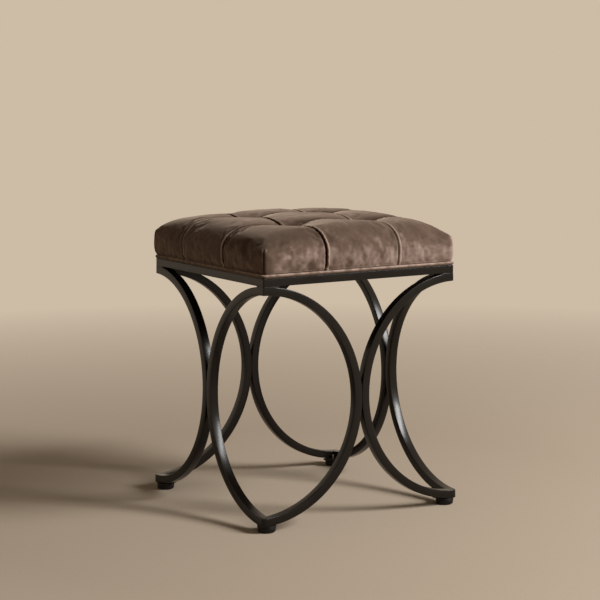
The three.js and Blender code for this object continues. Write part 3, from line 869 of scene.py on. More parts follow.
def glide_points():
    """A tapered button with a round lower edge, a fine groove under its collar and a
    counterbored hole. The profile closes on itself."""
    bore = GLIDE_SCREW_RADIUS + SCREW_CLEARANCE
    pocket = GLIDE_HEAD_RADIUS + SCREW_CLEARANCE
    seat = pin_low[2] + GLIDE_HEAD_HEIGHT
    foot = GLIDE_RADIUS - GLIDE_TAPER
    round_edge = [(foot - GLIDE_EDGE * (1 - math.sin(a)), GLIDE_EDGE * (1 - math.cos(a)))
                  for a in np.linspace(0, math.pi / 2, 9)]
    groove = [(GLIDE_RADIUS - GROOVE_LIP, GROOVE_HEIGHT - GROOVE_DEPTH),
              (GLIDE_RADIUS - GROOVE_DEPTH - GROOVE_DRAFT, GROOVE_HEIGHT),
              (GLIDE_RADIUS, GROOVE_HEIGHT + GROOVE_DEPTH)]
    collar = [(GLIDE_RADIUS - GLIDE_SHOULDER * (1 - math.cos(a)),
               GLIDE_HEIGHT - GLIDE_SHOULDER * (1 - math.sin(a)))
              for a in np.linspace(0, math.pi / 2, 5)]
    profile = [(bore, GLIDE_HEIGHT), (bore, seat), (pocket, seat), (pocket, POCKET_EDGE),
               (pocket + POCKET_EDGE, 0), *round_edge, *groove, *collar]
    return spun(profile, GLIDE_MIDDLE)


button = glide_points()
for side in range(4):
    corner = corner_name(side)
    glide = make_piece(f"glide_button_{corner}", quarter_turned(button, side), closed_rings(button), nylon)
    split_shading(face_outward(glide))
    settle(glide, "glide", f"glide_{corner}")
print("Glides", round(2 * GLIDE_RADIUS / MM, 1), "mm across")

# %% [markdown]
# ## Seat board and dust cover
#
# The cushion is built on a plywood board. A thin black non-woven cloth is stapled under it to
# keep dust out, and is what one sees on looking up into the frame. The cloth is stapled at its
# edges and sags by a millimetre or two in between, which is the product of two parabolas.
#
# Non-woven cloth has no threads. It is pressed from fibres, with a pattern of small bonded dots.

# %% Non-woven cloth
BOND_PITCH = 2.5 * MM
FIBRE_LENGTH = 1.2 * MM


def nonwoven_cloth():
    """Pressed dots on a felt of fibres."""
    material, tree, shader = new_material("nonwoven_cloth")
    place = (node(tree, "ShaderNodeTexCoord"), "Object")
    dots = node(tree, "ShaderNodeTexVoronoi", {
        "Vector": place, "Scale": 1 / BOND_PITCH, "Randomness": 0.15})
    fibres = node(tree, "ShaderNodeTexNoise", {
        "Vector": place, "Scale": 1 / FIBRE_LENGTH, "Detail": 4.0, "Distortion": 2.0})
    tone = node(tree, "ShaderNodeValToRGB", {"Fac": (fibres, "Fac")},
                stops=[(0.3, "#161617"), (0.7, "#26262a")])
    height = node(tree, "ShaderNodeMath", {0: (dots, "Distance"), 1: (fibres, "Fac")}, operation="ADD")
    bump = node(tree, "ShaderNodeBump", {
        "Height": (height, "Value"), "Strength": 0.5, "Distance": 0.12 * MM})
    set_sockets(shader, {
        "IOR": 1.4, "Specular IOR Level": 0.2, "Sheen Weight": 0.2, "Roughness": 0.92,
        "Base Color": (tone, "Color"), "Normal": (bump, "Normal")})
    return material


cambric = nonwoven_cloth()
board_low, board_high = np.array(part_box("seat_board"))
repaint("seat_board", plywood)
print("Seat board", np.round((board_high - board_low) / MM, 1), "mm")

# %% Dust cover and staples
CLOTH_THICKNESS = 0.4 * MM
CLOTH_CLEARANCE = 0.2 * MM
CLOTH_SAG = 2.2 * MM
CLOTH_RIPPLE = 0.35 * MM
RIPPLE_REACH = 20 * MM
STAPLE_CROWN = 10 * MM
STAPLE_WIRE = 0.9 * MM
STAPLE_BEND_SHARE = 0.7
STAPLE_FLATNESS = 0.6
STAPLE_SINK_SHARE = 0.2
STAPLE_LINE = 168 * MM
STAPLE_PITCH = 34 * MM
STAPLES_PER_SIDE = 7
CLOTH_STEPS = 61
_, cloth_high = np.array(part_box("dust_cover"))
cloth_half = cloth_high[0]


def cloth_height(x, y):
    """The underside of the cloth: it sags between the staples, with faint pulls to each of them."""
    bowl = np.maximum(1 - (x / STAPLE_LINE) ** 2, 0) * np.maximum(1 - (y / STAPLE_LINE) ** 2, 0)
    edge = hill(STAPLE_LINE - np.maximum(np.abs(x), np.abs(y)), RIPPLE_REACH)
    along = np.where(np.abs(x) > np.abs(y), y, x)
    pulls = CLOTH_RIPPLE * edge * np.cos(2 * math.pi * along / STAPLE_PITCH) * (bowl > 0)
    top = cloth_high[2] - CLOTH_THICKNESS - CLOTH_CLEARANCE
    return top - CLOTH_SAG * bowl - np.maximum(pulls, 0)


span = np.linspace(-cloth_half, cloth_half, CLOTH_STEPS)
cloth_x, cloth_y = np.meshgrid(span, span)
cloth_points = np.stack([cloth_x, cloth_y, cloth_height(cloth_x, cloth_y)], axis=-1)
dust_cover = make_piece("dust_cloth", cloth_points, grid_faces(CLOTH_STEPS, CLOTH_STEPS), cambric)
thick = dust_cover.modifiers.new("thickness", "SOLIDIFY")
thick.thickness = CLOTH_THICKNESS
thick.offset = 1.0
settle(dust_cover, "dust_cover", "dust_cover")


def staple(x):
    """A flat wire crown along the front edge of the cloth. Its legs turn up into the board. The
    section stands square to the line, on the mean of the two directions at each bend."""
    half, bend, leg = STAPLE_CROWN / 2, STAPLE_WIRE * STAPLE_BEND_SHARE, 2 * STAPLE_WIRE
    line = np.array([(-half, leg), (-half, bend), (-half + bend, 0),
                     (half - bend, 0), (half, bend), (half, leg)])
    onward = np.gradient(line, axis=0)
    onward /= np.linalg.norm(onward, axis=1, keepdims=True)
    under = cloth_height(x, -STAPLE_LINE) - CLOTH_THICKNESS * STAPLE_SINK_SHARE
    wide = np.array([[-1, 1, 1, -1]]) * STAPLE_WIRE / 2
    thick = np.array([[-1, -1, 1, 1]]) * STAPLE_WIRE / 2 * STAPLE_FLATNESS
    rings = np.stack([x + line[:, :1] - onward[:, 1:] * thick, -STAPLE_LINE + wide + 0 * line[:, :1],
                      under + line[:, 1:] + onward[:, :1] * thick], axis=-1)
    return rings, capped_tube(rings)


places = (np.arange(STAPLES_PER_SIDE) - (STAPLES_PER_SIDE - 1) / 2) * STAPLE_PITCH
for side, name in enumerate(SIDES):
    points, faces = join_parts([staple(x) for x in places])
    staples = make_piece(f"staples_{name}", quarter_turned(points, side), faces, zinc, smooth=False)
    settle(face_outward(staples), "zinc_steel")
print("Staples:", STAPLES_PER_SIDE * 4)

# %% [markdown]
# ## The cushion's form
#
# The cover is one square of velvet, sewn down to the foam along four straight lines, two each
# way. The lines run across the seat, over its edge and down its sides, and part it into nine
# pillows. At the corners the spare cloth is cut away, and the edges are joined in a short upright
# dart.
#
# So the natural parameters are distances on the cloth: across and along, from the middle of the
# seat. The larger of the two is the wrap, which says how far down the outline a point has come:
# over the flat top, round the edge and down the side. Past the corner of the cloth, where both are
# large, points fall together on the dart.

# %% Outline of the cushion
cover_low, _ = np.array(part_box("cushion_cover"))
welt_low, welt_high = np.array(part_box("welt"))
COVER_FOOT = cover_low[2]
CUSHION_BULGE = 4 * MM
SIDE_POWER = 3
CUSHION_HEIGHT = 74.8 * MM
SEAM_TOP = FRAME_TOP + CUSHION_HEIGHT
ROLL_WIDTH = 50 * MM
ROLL_HEIGHT = 40.5 * MM
SEAM_OFFSET = 72 * MM
PILLOW_RISE = 4.6 * MM
SEAM_LIFT = 1.5 * MM
PILLOW_SWELL = 3.5 * MM
PILLOW_POWER = 2.4
SWELL_POWER = 4
CROSSING_DIP = 12.3 * MM
CROSSING_REACH = 38 * MM
SEAT_CROWN = 3 * MM
SEAT_TILT = 1.6 * MM
# Three measures of each corner, in rows for the left (near, far) and the right: its drop, how far
# the cloth slopes straight down to its dart, and how far its sides are tucked in.
CORNER_DROPS = np.array([[15, 12.5], [15, 15]]) * MM
CORNER_SLOPES = np.array([[2.0, 0.0], [5.4, 2.5]]) * MM
CORNER_TUCKS = np.array([[4.6, 2.9], [4.6, 4.6]]) * MM
SLOPE_PLACE, SLOPE_WIDTH = 0.7, 0.22
CORNER_SQUARE = 0.52
CORNER_FOOT_SHARE = 0.85
CORNER_UNCURL = 0.4
CORNER_RADIUS_TOP = 8 * MM
CORNER_RADIUS_FOOT = 5.5 * MM
CORNER_SWELL_SHARE = 0.75
DART_PULL = 0.8
DART_REACH = 26 * MM
LEFT_DRIFT = 9 * MM
# How full each pillow is: in rows from the left to the right, each from the near one to the far.
PILLOW_SHARES = np.array([[1.0, 0.9, 0.8], [0.9, 1.0, 0.4], [0.8, 0.6, 1.35]])

CUSHION_HALF = HALF + CUSHION_BULGE
FLAT_HALF = CUSHION_HALF - ROLL_WIDTH
ROLL_LENGTH = math.pi / 2 * math.sqrt((ROLL_WIDTH ** 2 + ROLL_HEIGHT ** 2) / 2)
SIDE_LENGTH = SEAM_TOP - ROLL_HEIGHT - COVER_FOOT
WRAP_END = FLAT_HALF + ROLL_LENGTH + SIDE_LENGTH
DART_START = FLAT_HALF + ROLL_LENGTH / 2
DRIFT_START, DRIFT_FULL = FLAT_HALF - 30 * MM, FLAT_HALF + 50 * MM
print("The cloth reaches", round(WRAP_END / MM, 1), "mm from the middle to the welt")


def wrap_at(across, along):
    """How far down the outline a place on the cloth has come: the larger distance of the two."""
    return np.maximum(np.abs(across), np.abs(along))


def progress(wrap):
    """How far a wrap distance has come round the edge, and down the side, each from 0 to 1."""
    return (np.clip((wrap - FLAT_HALF) / ROLL_LENGTH, 0, 1),
            np.clip((wrap - FLAT_HALF - ROLL_LENGTH) / SIDE_LENGTH, 0, 1))


def outline(wrap):
    """Reach from the middle, height and outward direction (out, up) at a wrap distance: a flat
    top, a quarter of an ellipse, and a side that draws in to the foot, slowly at first."""
    roll, drop = progress(wrap)
    turn = roll * math.pi / 2
    reach = np.minimum(wrap, FLAT_HALF) + ROLL_WIDTH * np.sin(turn) - CUSHION_BULGE * drop ** SIDE_POWER
    z = SEAM_TOP - ROLL_HEIGHT * (1 - np.cos(turn)) - SIDE_LENGTH * drop
    out, up = ROLL_HEIGHT * np.sin(turn), ROLL_WIDTH * np.cos(turn)
    length = np.hypot(out, up)
    return reach, z, out / length, up / length


def corner_bend(wrap):
    """The plan radius of the corners: it swells over the edge of the seat and is least at the foot."""
    roll, drop = progress(wrap)
    swell = np.sin(math.pi * roll * CORNER_SWELL_SHARE)
    bend = CORNER_RADIUS_TOP * swell * (1 - drop) + CORNER_RADIUS_FOOT * drop
    return np.maximum(bend, CORNER_RADIUS_FOOT * roll)


def which_corner(x, y):
    """The row and the place in the row of each point's corner, in the arrays of corner measures."""
    return (x > 0).astype(int), (y > 0).astype(int)


def corner_tuck(drop, which):
    """How far the sides are drawn in at a corner. It is less at the foot, where the curl of the
    side is also partly undone."""
    return (CORNER_TUCKS[which] * (1 - (1 - CORNER_FOOT_SHARE) * drop)
            - CORNER_UNCURL * CUSHION_BULGE * drop ** SIDE_POWER)


def fullness(distance, power):
    """How full a pillow is, from 0 on the seams and the welt to 1 in its middle. A higher power
    makes it flatter, with steeper ends."""
    distance = np.abs(distance)
    inner = distance / SEAM_OFFSET
    outer = np.abs(2 * (distance - SEAM_OFFSET) / (WRAP_END - SEAM_OFFSET) - 1)
    edge = np.clip(np.where(distance < SEAM_OFFSET, inner, outer), 0, 1)
    return (1 - edge ** power) ** (1 / power)


# %% The cushion as a function of the cloth
def plan_position(cut_across, cut_along, reach, bend):
    """Plan position and outward direction: the place on the cloth is squeezed to the reach, and
    what lies beyond the core of a corner is put on an arc of the bend round it."""
    cut_wrap = wrap_at(cut_across, cut_along)
    squeeze = np.where(cut_wrap > FLAT_HALF,
                       (reach - FLAT_HALF) / np.maximum(cut_wrap - FLAT_HALF, TINY), 1)
    plan = []
    for cut in (cut_across, cut_along):
        size = np.abs(cut)
        squeezed = FLAT_HALF + (size - FLAT_HALF) * squeeze
        plan.append(np.sign(cut) * np.where(size > FLAT_HALF, squeezed, size))
    core = [np.sign(p) * np.minimum(np.abs(p), reach - bend) for p in plan]
    arm = [p - c for p, c in zip(plan, core)]
    length = np.maximum(np.hypot(*arm), TINY)
    outward = [a / length * (length > 10 * TINY) for a in arm]
    return [c + o * np.where(bend > TINY, bend, length) for c, o in zip(core, outward)], outward


def cushion_points(across, along, fill=1.0):
    """Points of the cover for arrays of cloth distances. fill scales the height of the pillows.

    The height is the outline's, plus the pillows, less a dip where two seams cross, plus a crown,
    less a drop and a slope towards the four corners. The darts pull the corners square and in:
    there the edge of the seat reaches out sooner by sin * cos^2 of its turn, the sides are tucked
    in, and the pillows are held down."""
    wrap = wrap_at(across, along)
    cut_across, cut_along = (np.clip(c, -DART_START, DART_START) for c in (across, along))
    cut_wrap = wrap_at(cut_across, cut_along)
    reach, z, out, up = outline(wrap)
    roll, drop = progress(wrap)
    turn = roll * math.pi / 2
    corner = (cut_across * cut_along / DART_START ** 2) ** 2
    which = which_corner(across, along)
    reach = reach + corner * np.sin(turn) * (ROLL_WIDTH * CORNER_SQUARE * np.cos(turn) ** 2
                                             - corner_tuck(drop, which))
    plan, outward = plan_position(cut_across, cut_along, reach, corner_bend(wrap))
    on_across, on_along = (np.where(np.abs(cut) >= cut_wrap - TINY, wrap, np.abs(cut))
                           for cut in (cut_across, cut_along))
    to_dart = np.hypot(DART_START - np.abs(cut_across), DART_START - np.abs(cut_along))
    cell = tuple(np.digitize(c, [-SEAM_OFFSET, SEAM_OFFSET]) for c in (across, along))
    rise = (fullness(on_across, PILLOW_POWER) * fullness(on_along, PILLOW_POWER) * fill
            * PILLOW_SHARES[cell] * (1 - DART_PULL * hill(to_dart, DART_REACH)))
    swell = PILLOW_SWELL * fullness(on_across, SWELL_POWER) * fullness(on_along, SWELL_POWER) * fill * out
    crossing = np.hypot(on_across - SEAM_OFFSET, on_along - SEAM_OFFSET)
    dip = CROSSING_DIP * hill(crossing, CROSSING_REACH)
    middle = np.maximum(0, 1 - (cut_wrap / FLAT_HALF) ** 2)
    lift = SEAM_LIFT + SEAT_TILT * (cut_across + cut_along) / (2 * FLAT_HALF)
    drift = (LEFT_DRIFT * smooth_step(-across, DRIFT_START, DRIFT_FULL)
             * (1 - (cut_along / DART_START) ** 2))
    upright = (z - COVER_FOOT) / (SEAM_TOP - COVER_FOOT)
    fall = (CORNER_DROPS[which] * corner * upright
            + CORNER_SLOPES[which] * hill(corner - SLOPE_PLACE, SLOPE_WIDTH) * up)
    return np.stack([
        plan[0] + outward[0] * swell,
        plan[1] + outward[1] * swell + drift,
        z + (PILLOW_RISE * rise + lift - dip) * up + SEAT_CROWN * middle - fall,
    ], axis=-1)


middle_point = cushion_points(np.zeros(1), np.zeros(1))[0]
print("The formula puts the middle of the seat at", round(float(middle_point[2]) / MM, 1), "mm")

# %% [markdown]
# ## A grid of cloth with its corners cut away
#
# The mesh is a grid of lines on the cloth, the same both ways. Cells in the four corner squares are
# left out, and the points round such a square are shared in pairs, which closes the dart. Lines lie
# close together near the seams, the dart and the foot, where fine folds will be pressed in, and
# further apart on the open pillows: the step grows with the distance from the nearest such mark.

# %% Lines and faces of the cover
def graded_lines(marks, least, most, growth):
    """Distances that pass through every mark. The step is the least one at a mark and grows with
    the distance from it: counting the steps as a sum of 1 / step gives where each line falls."""
    lines = [marks[0]]
    for start, end in zip(marks[:-1], marks[1:]):
        fine = np.linspace(start, end, 2000)
        near = np.minimum(fine - start if start > 0 else np.inf, end - fine)
        step = np.minimum(least + growth * near, most)
        count = np.concatenate([[0], np.cumsum(np.diff(fine) * 2 / (step[1:] + step[:-1]))])
        cells = max(int(math.ceil(count[-1])), 1)
        lines.extend(np.interp(np.linspace(0, count[-1], cells + 1)[1:], count, fine))
    lines = np.array(lines)
    return np.concatenate([-lines[:0:-1], lines])


def cover_grid(lines):
    """For the lines of a grid: the point number of each crossing, one crossing for each point,
    and the faces, as crossings and as point numbers."""
    count = len(lines)
    inside = np.abs(lines) <= DART_START + TINY
    level = np.arange(count) - count // 2
    limit = int(np.max(level[inside]))
    row, column = np.meshgrid(level, level, indexing="ij")
    ring = np.maximum(np.abs(row), np.abs(column))
    key_row, key_column = np.clip(row, -limit, limit), np.clip(column, -limit, limit)
    key = (ring * count + key_row + limit) * count + key_column + limit
    same = np.where(ring <= limit, (row + count) * count * count * 4 + column + count, key)
    _, first, index = np.unique(same, return_index=True, return_inverse=True)
    index = index.reshape(count, count)
    cell_row, cell_column = np.meshgrid(np.arange(count - 1), np.arange(count - 1), indexing="ij")
    middle = (lines[1:] + lines[:-1]) / 2
    kept = (np.abs(middle)[cell_row] < DART_START) | (np.abs(middle)[cell_column] < DART_START)
    r, c = cell_row[kept], cell_column[kept]
    crossings = np.stack([np.stack([r, c], -1), np.stack([r + 1, c], -1),
                          np.stack([r + 1, c + 1], -1), np.stack([r, c + 1], -1)], axis=1)
    faces = index[crossings[..., 0], crossings[..., 1]]
    return index, np.unravel_index(first, (count, count)), crossings, faces


MARKS = [0.0, SEAM_OFFSET, DART_START, WRAP_END]
FINE_LEAST, FINE_MOST, FINE_GROWTH = 0.62 * MM, 2.6 * MM, 0.22
fine_lines = graded_lines(MARKS, FINE_LEAST, FINE_MOST, FINE_GROWTH)
fine_index, fine_first, fine_crossings, fine_faces = cover_grid(fine_lines)
print("The cover has", len(fine_lines), "lines each way and", len(fine_first[0]), "points")

# %% [markdown]
# ## Letting the pillows fill
#
# A formula can set out nine pillows, but not how cloth bellies between its seams. So a coarse copy
# of the grid starts a little slack and is blown up by Blender's Cloth, with its points pinned on
# the seams, along the foot and, partly, on the darts. Only the movement is kept. It is carried to
# the fine grid by cubic splines, one for each stretch between two seams, because the cloth has a
# crease at a seam and a spline would round it off.

# %% Natural cubic splines
def spline_weights(old, new):
    """The matrix that takes values at the old places to values at the new ones.

    On each interval the curve is the straight line between its ends plus a cubic that the second
    derivatives at the ends set. These come from a tridiagonal system, with zeros at both ends."""
    count = len(old)
    gap = np.diff(old)
    system, change = np.eye(count), np.zeros((count, count))
    for i in range(1, count - 1):
        system[i, i - 1:i + 2] = gap[i - 1] / 6, (gap[i - 1] + gap[i]) / 3, gap[i] / 6
        change[i, i - 1:i + 2] = 1 / gap[i - 1], -1 / gap[i - 1] - 1 / gap[i], 1 / gap[i]
    bending = np.linalg.solve(system, change)
    cell = np.clip(np.searchsorted(old, new, side="right") - 1, 0, count - 2)
    after = (new - old[cell]) / gap[cell]
    before = 1 - after
    rows = np.eye(count)
    square = (gap[cell] ** 2 / 6)[:, None]
    return (before[:, None] * rows[cell] + after[:, None] * rows[cell + 1]
            + square * ((before ** 3 - before)[:, None] * bending[cell]
                        + (after ** 3 - after)[:, None] * bending[cell + 1]))


def seam_weights(old, new):
    """Spline weights that stop and start again at the seams."""
    weights = np.zeros((len(new), len(old)))
    stops = [-WRAP_END, -SEAM_OFFSET, SEAM_OFFSET, WRAP_END]
    for start, end in zip(stops[:-1], stops[1:]):
        from_old = np.flatnonzero((old > start - NEAR) & (old < end + NEAR))
        to_new = np.flatnonzero((new > start - NEAR) & (new < end + NEAR))
        weights[np.ix_(to_new, from_old)] = spline_weights(old[from_old], new[to_new])
    return weights


half_way = spline_weights(np.arange(3.0), np.array([0.5])) @ [0, 1, 0]
print("Half way up to a peak of 1 a spline is at", round(float(half_way[0]), 3))

# %% Blow up a coarse copy
COARSE_STEP = 5 * MM
SLACK_FILL = 0.7
PILLOW_PRESSURE = 1.6
CLOTH_MASS = 0.2
CLOTH_STIFFNESS = 18
CLOTH_BENDING = 0.6
CLOTH_QUALITY = 6
CLOTH_GROWTH = 0.012
CLOTH_FRAMES = 22
MOST_MOVE = 4 * MM
DART_PIN = 0.6


def blown_up(points, faces, pin):
    """Where the points of a mesh come to rest under pressure, held by their pin weights."""
    slack = make_piece("slack_cover", points, faces, velvet)
    group = slack.vertex_groups.new(name="pin")
    for weight in np.unique(pin[pin > 0]):
        group.add(np.flatnonzero(pin == weight).tolist(), float(weight), "REPLACE")
    cloth = slack.modifiers.new("cloth", "CLOTH")
    settings = cloth.settings
    settings.quality = CLOTH_QUALITY
    settings.mass = CLOTH_MASS
    settings.tension_stiffness = settings.compression_stiffness = CLOTH_STIFFNESS
    settings.bending_stiffness = CLOTH_BENDING
    settings.shrink_min = -CLOTH_GROWTH
    settings.use_pressure = True
    settings.uniform_pressure_force = PILLOW_PRESSURE
    settings.vertex_group_mass = "pin"
    settings.effector_weights.gravity = 0
    cloth.collision_settings.use_collision = False
    cloth.point_cache.frame_start, cloth.point_cache.frame_end = 1, CLOTH_FRAMES
    for step in range(1, CLOTH_FRAMES + 1):
        scene.frame_set(step)
    done = slack.evaluated_get(bpy.context.evaluated_depsgraph_get()).to_mesh()
    moved = np.empty(len(points) * 3)
    done.vertices.foreach_get("co", moved)
    bpy.data.objects.remove(slack)
    scene.frame_set(1)
    return moved.reshape(-1, 3)


def pillow_move(lines):
    """The simulated movement at every crossing of the given lines."""
    coarse = graded_lines(MARKS, least=COARSE_STEP, most=COARSE_STEP, growth=0)
    index, first, _, faces = cover_grid(coarse)
    across, along = coarse[first[0]], coarse[first[1]]
    start = cushion_points(across, along, SLACK_FILL)
    on_dart = np.minimum(np.abs(across), np.abs(along)) >= DART_START - NEAR
    pin = np.where(on_dart, DART_PIN, 0.0)
    held = [np.abs(np.abs(across) - SEAM_OFFSET), np.abs(np.abs(along) - SEAM_OFFSET),
            WRAP_END - wrap_at(across, along)]
    pin[np.minimum.reduce(held) < NEAR] = 1.0
    move = blown_up(start, faces, pin) - start
    length = np.linalg.norm(move, axis=1, keepdims=True)
    move *= np.minimum(1, MOST_MOVE / np.maximum(length, TINY))
    print("The pillows moved by", round(float(length.max()) / MM, 2), "mm at most, and",
          round(float(length.mean()) / MM, 2), "mm on average")
    weights = seam_weights(coarse, lines)
    return np.einsum("ai,ijk,bj->abk", weights, move[index], weights, optimize=True)


fine_across, fine_along = fine_lines[fine_first[0]], fine_lines[fine_first[1]]
cover_points = cushion_points(fine_across, fine_along, SLACK_FILL)
cover_points += pillow_move(fine_lines)[fine_first]
print("The cushion is", round(float(cover_points[:, 2].max()) / MM, 1), "mm high")

# %% [markdown]
# ## Seams, folds, the lie of the pile and painted shade
#
# A sewn seam pulls the velvet down in a narrow cleft. One side of it is the folded edge of the
# cloth, which stands a little higher. Thread tension draws short gathers across the seam, and
# where the near front seam runs into the foot the spare cloth lies in fine folds beside it. All of
# these are heights along the surface's normal, worked out from the distance to the seam. No two
# seams on a hand-made cushion are alike, so each has its own strength, which also wanders along it.
#
# The same distances set the nap, which is partly the lie of the pile and partly painted light and
# shade: it is pale on the upright faces and on the top, darkest over the edge of the seat, and
# painted darker in the valleys, behind seams and on the left face, which lies out of the light.

# %% Smooth random numbers on the cloth
LATTICE_SIZE = 64
LATTICE_SHIFT = 1000.5
TINY_AREA = 1e-12


def cloth_noise(x, y, size, seed):
    """Numbers between -1 and 1 that change over the given size: random values on a lattice,
    blended between its points with smooth steps."""
    lattice = np.random.default_rng(seed).uniform(-1, 1, (LATTICE_SIZE, LATTICE_SIZE))
    u, v = np.asarray(x / size + LATTICE_SHIFT), np.asarray(y / size + LATTICE_SHIFT)
    i, j = np.floor(u).astype(int), np.floor(v).astype(int)
    s, t = smooth_step(u - i, 0, 1), smooth_step(v - j, 0, 1)
    corner = [[lattice[(i + di) % LATTICE_SIZE, (j + dj) % LATTICE_SIZE] for dj in (0, 1)]
              for di in (0, 1)]
    return ((corner[0][0] * (1 - t) + corner[0][1] * t) * (1 - s)
            + (corner[1][0] * (1 - t) + corner[1][1] * t) * s)


def added_noise(x, y, layers):
    """The sum of several noises, for layers of (weight, stretch of y, size, seed)."""
    return sum(weight * cloth_noise(x, stretch * y, size, seed) for weight, stretch, size, seed in layers)


def vertex_normals(points, faces):
    """The mean direction of the faces at each point. A quad's is the cross product of its diagonals."""
    normal = np.cross(points[faces[:, 2]] - points[faces[:, 0]], points[faces[:, 3]] - points[faces[:, 1]])
    total = np.zeros_like(points)
    for corner in range(faces.shape[1]):
        for axis in range(3):
            total[:, axis] += np.bincount(faces[:, corner], normal[:, axis], len(points))
    return total / np.maximum(np.linalg.norm(total, axis=1, keepdims=True), TINY_AREA)


print("Noise in the middle of the cloth:", round(float(cloth_noise(0.0, 0.0, 10 * MM, seed=1)), 3))

# %% Heights of the seams
CLEFT_DEPTH = 2.6 * MM
CLEFT_WIDTH = 1.5 * MM
CLEFT_POWER = 1.6
TOP_CLEFT_SHARE = 0.65
LIP_HEIGHT = 1.1 * MM
LIP_OFFSET = 4.4 * MM
LIP_WIDTH = 1.2 * MM
# The lip's tone is a painted highlight on the folded edge.
LIP_HIGHLIGHT = 0.95
GATHER_HEIGHT = 0.32 * MM
GATHER_PITCH = 11 * MM
GATHER_REACH = 6 * MM
# The painted shade beside a seam's cleft. On top, the painted shade of a seam that runs along y
# is narrow and lies just to its right. That of a seam that runs along x is wide, weak and has a
# dark line in it, and lies behind the seam, because the pillow in front rises and hides the cleft
# itself.
CREASE_WIDTH = 1.5 * MM
FOOT_CREASE_GROWTH = 0.3
Y_SHADE_SHARE, Y_SHADE_SHIFT = 1.9, 1.2 * MM
X_SHADE_WIDTH, X_SHADE_SHIFT, X_SHADE_TONE = 9 * MM, 7 * MM, 0.5
X_LINE_WIDTH, X_LINE_TONE = 3.2 * MM, 0.95
FOLD_LINE_OFFSET, FOLD_LINE_WIDTH = 6.8 * MM, 0.9 * MM
# How much the seams, their gathers and the painted highlight on their lips wander, and over what size.
SEAM_WANDER, SEAM_WANDER_SIZE = 0.2, 37 * MM
GATHER_WANDER, GATHER_WANDER_SIZE = 4, 30 * MM
LIP_HIGHLIGHT_WANDER, LIP_HIGHLIGHT_WANDER_SIZE = 0.5, 9 * MM
# Where the side begins and is reached, where the foot begins, and where the left row calms down.
SIDE_START, SIDE_FULL = FLAT_HALF - 20 * MM, FLAT_HALF + 35 * MM
FOOT_START = WRAP_END - 40 * MM
CALM_START, CALM_FULL = FLAT_HALF - 60 * MM, FLAT_HALF - 20 * MM
LEFT_CALM = 0.7
# For each seam: does it run along y, its side of the middle, its strength, the side of its fold,
# and how dark the painted shade of the line behind its fold is.
SEAMS = [(True, -1, 1.15, 1, 0), (True, 1, 0.42, 1, 0.8), (False, -1, 1.0, 1, 0), (False, 1, 0.7, -1, 0)]


def left_calm(across):
    """The share of the gathers and dents that is left in the row at the left, which lies calmer."""
    return 1 - LEFT_CALM * smooth_step(-across, CALM_START, CALM_FULL)


def seam_shade(off, runs_along, strength, on_side, at_foot):
    """The painted shade of a seam at a distance from it. The shade is wider on top than on the side."""
    if runs_along:
        top_width, top_shift = Y_SHADE_SHARE * CREASE_WIDTH * strength, Y_SHADE_SHIFT
    else:
        top_width, top_shift = X_SHADE_WIDTH, X_SHADE_SHIFT
    side_width = CREASE_WIDTH * strength * (1 + FOOT_CREASE_GROWTH * at_foot)
    shade = hill(off - top_shift * (1 - on_side), top_width + (side_width - top_width) * on_side)
    if runs_along:
        return shade
    line = X_LINE_TONE * hill(off - X_SHADE_SHIFT, X_LINE_WIDTH) * (1 - on_side)
    return np.maximum(shade * (X_SHADE_TONE + (1 - X_SHADE_TONE) * on_side), line)


def seam_height(across, along):
    """The deepest cleft at each point, plus the folded lips and the gathers of all four seams. Also
    the painted shade beside each crease, and the painted highlight on the edge of each fold."""
    deepest, raised, crease_shade, edge = (np.zeros_like(across) for _ in range(4))
    wrap = wrap_at(across, along)
    on_side = smooth_step(wrap, SIDE_START, SIDE_FULL)
    at_foot = smooth_step(wrap, FOOT_START, WRAP_END)
    share = TOP_CLEFT_SHARE + (1 - TOP_CLEFT_SHARE) * on_side
    for number, (runs_along, place, strength, fold, behind) in enumerate(SEAMS):
        off, on = (across, along) if runs_along else (along, across)
        off = off - place * SEAM_OFFSET
        power = strength * (1 + SEAM_WANDER * cloth_noise(on, 0 * on, SEAM_WANDER_SIZE, 10 + number))
        deepest = np.maximum(deepest, CLEFT_DEPTH * power * share * hill(off, CLEFT_WIDTH, CLEFT_POWER))
        # Painted shade beside the cleft, and along the line behind the fold.
        shade = power * seam_shade(off, runs_along, strength, on_side, at_foot)
        fold_line = behind * hill(off - fold * FOLD_LINE_OFFSET, FOLD_LINE_WIDTH)
        crease_shade = np.maximum(crease_shade, np.maximum(shade, fold_line))
        lip = hill(off - fold * LIP_OFFSET, LIP_WIDTH) * (1 if runs_along else on_side)
        raised += LIP_HEIGHT * power * share * lip
        # The lip gets a painted highlight as well as its height.
        wander = 1 + LIP_HIGHLIGHT_WANDER * cloth_noise(on, 0 * on, LIP_HIGHLIGHT_WANDER_SIZE, 40 + number)
        edge = np.maximum(edge, LIP_HIGHLIGHT * lip * wander)
        phase = (2 * math.pi * on / GATHER_PITCH + off / GATHER_REACH
                 + GATHER_WANDER * cloth_noise(on, off, GATHER_WANDER_SIZE, 20 + number))
        raised += (GATHER_HEIGHT * power * left_calm(across) * np.cos(phase) * np.abs(off) / GATHER_REACH
                   * np.exp(1 - (off / GATHER_REACH) ** 2))
    return raised - deepest, np.clip(crease_shade, 0, 1), edge


print("Seams:", len(SEAMS), "with folded edges", LIP_HEIGHT / MM, "mm high")

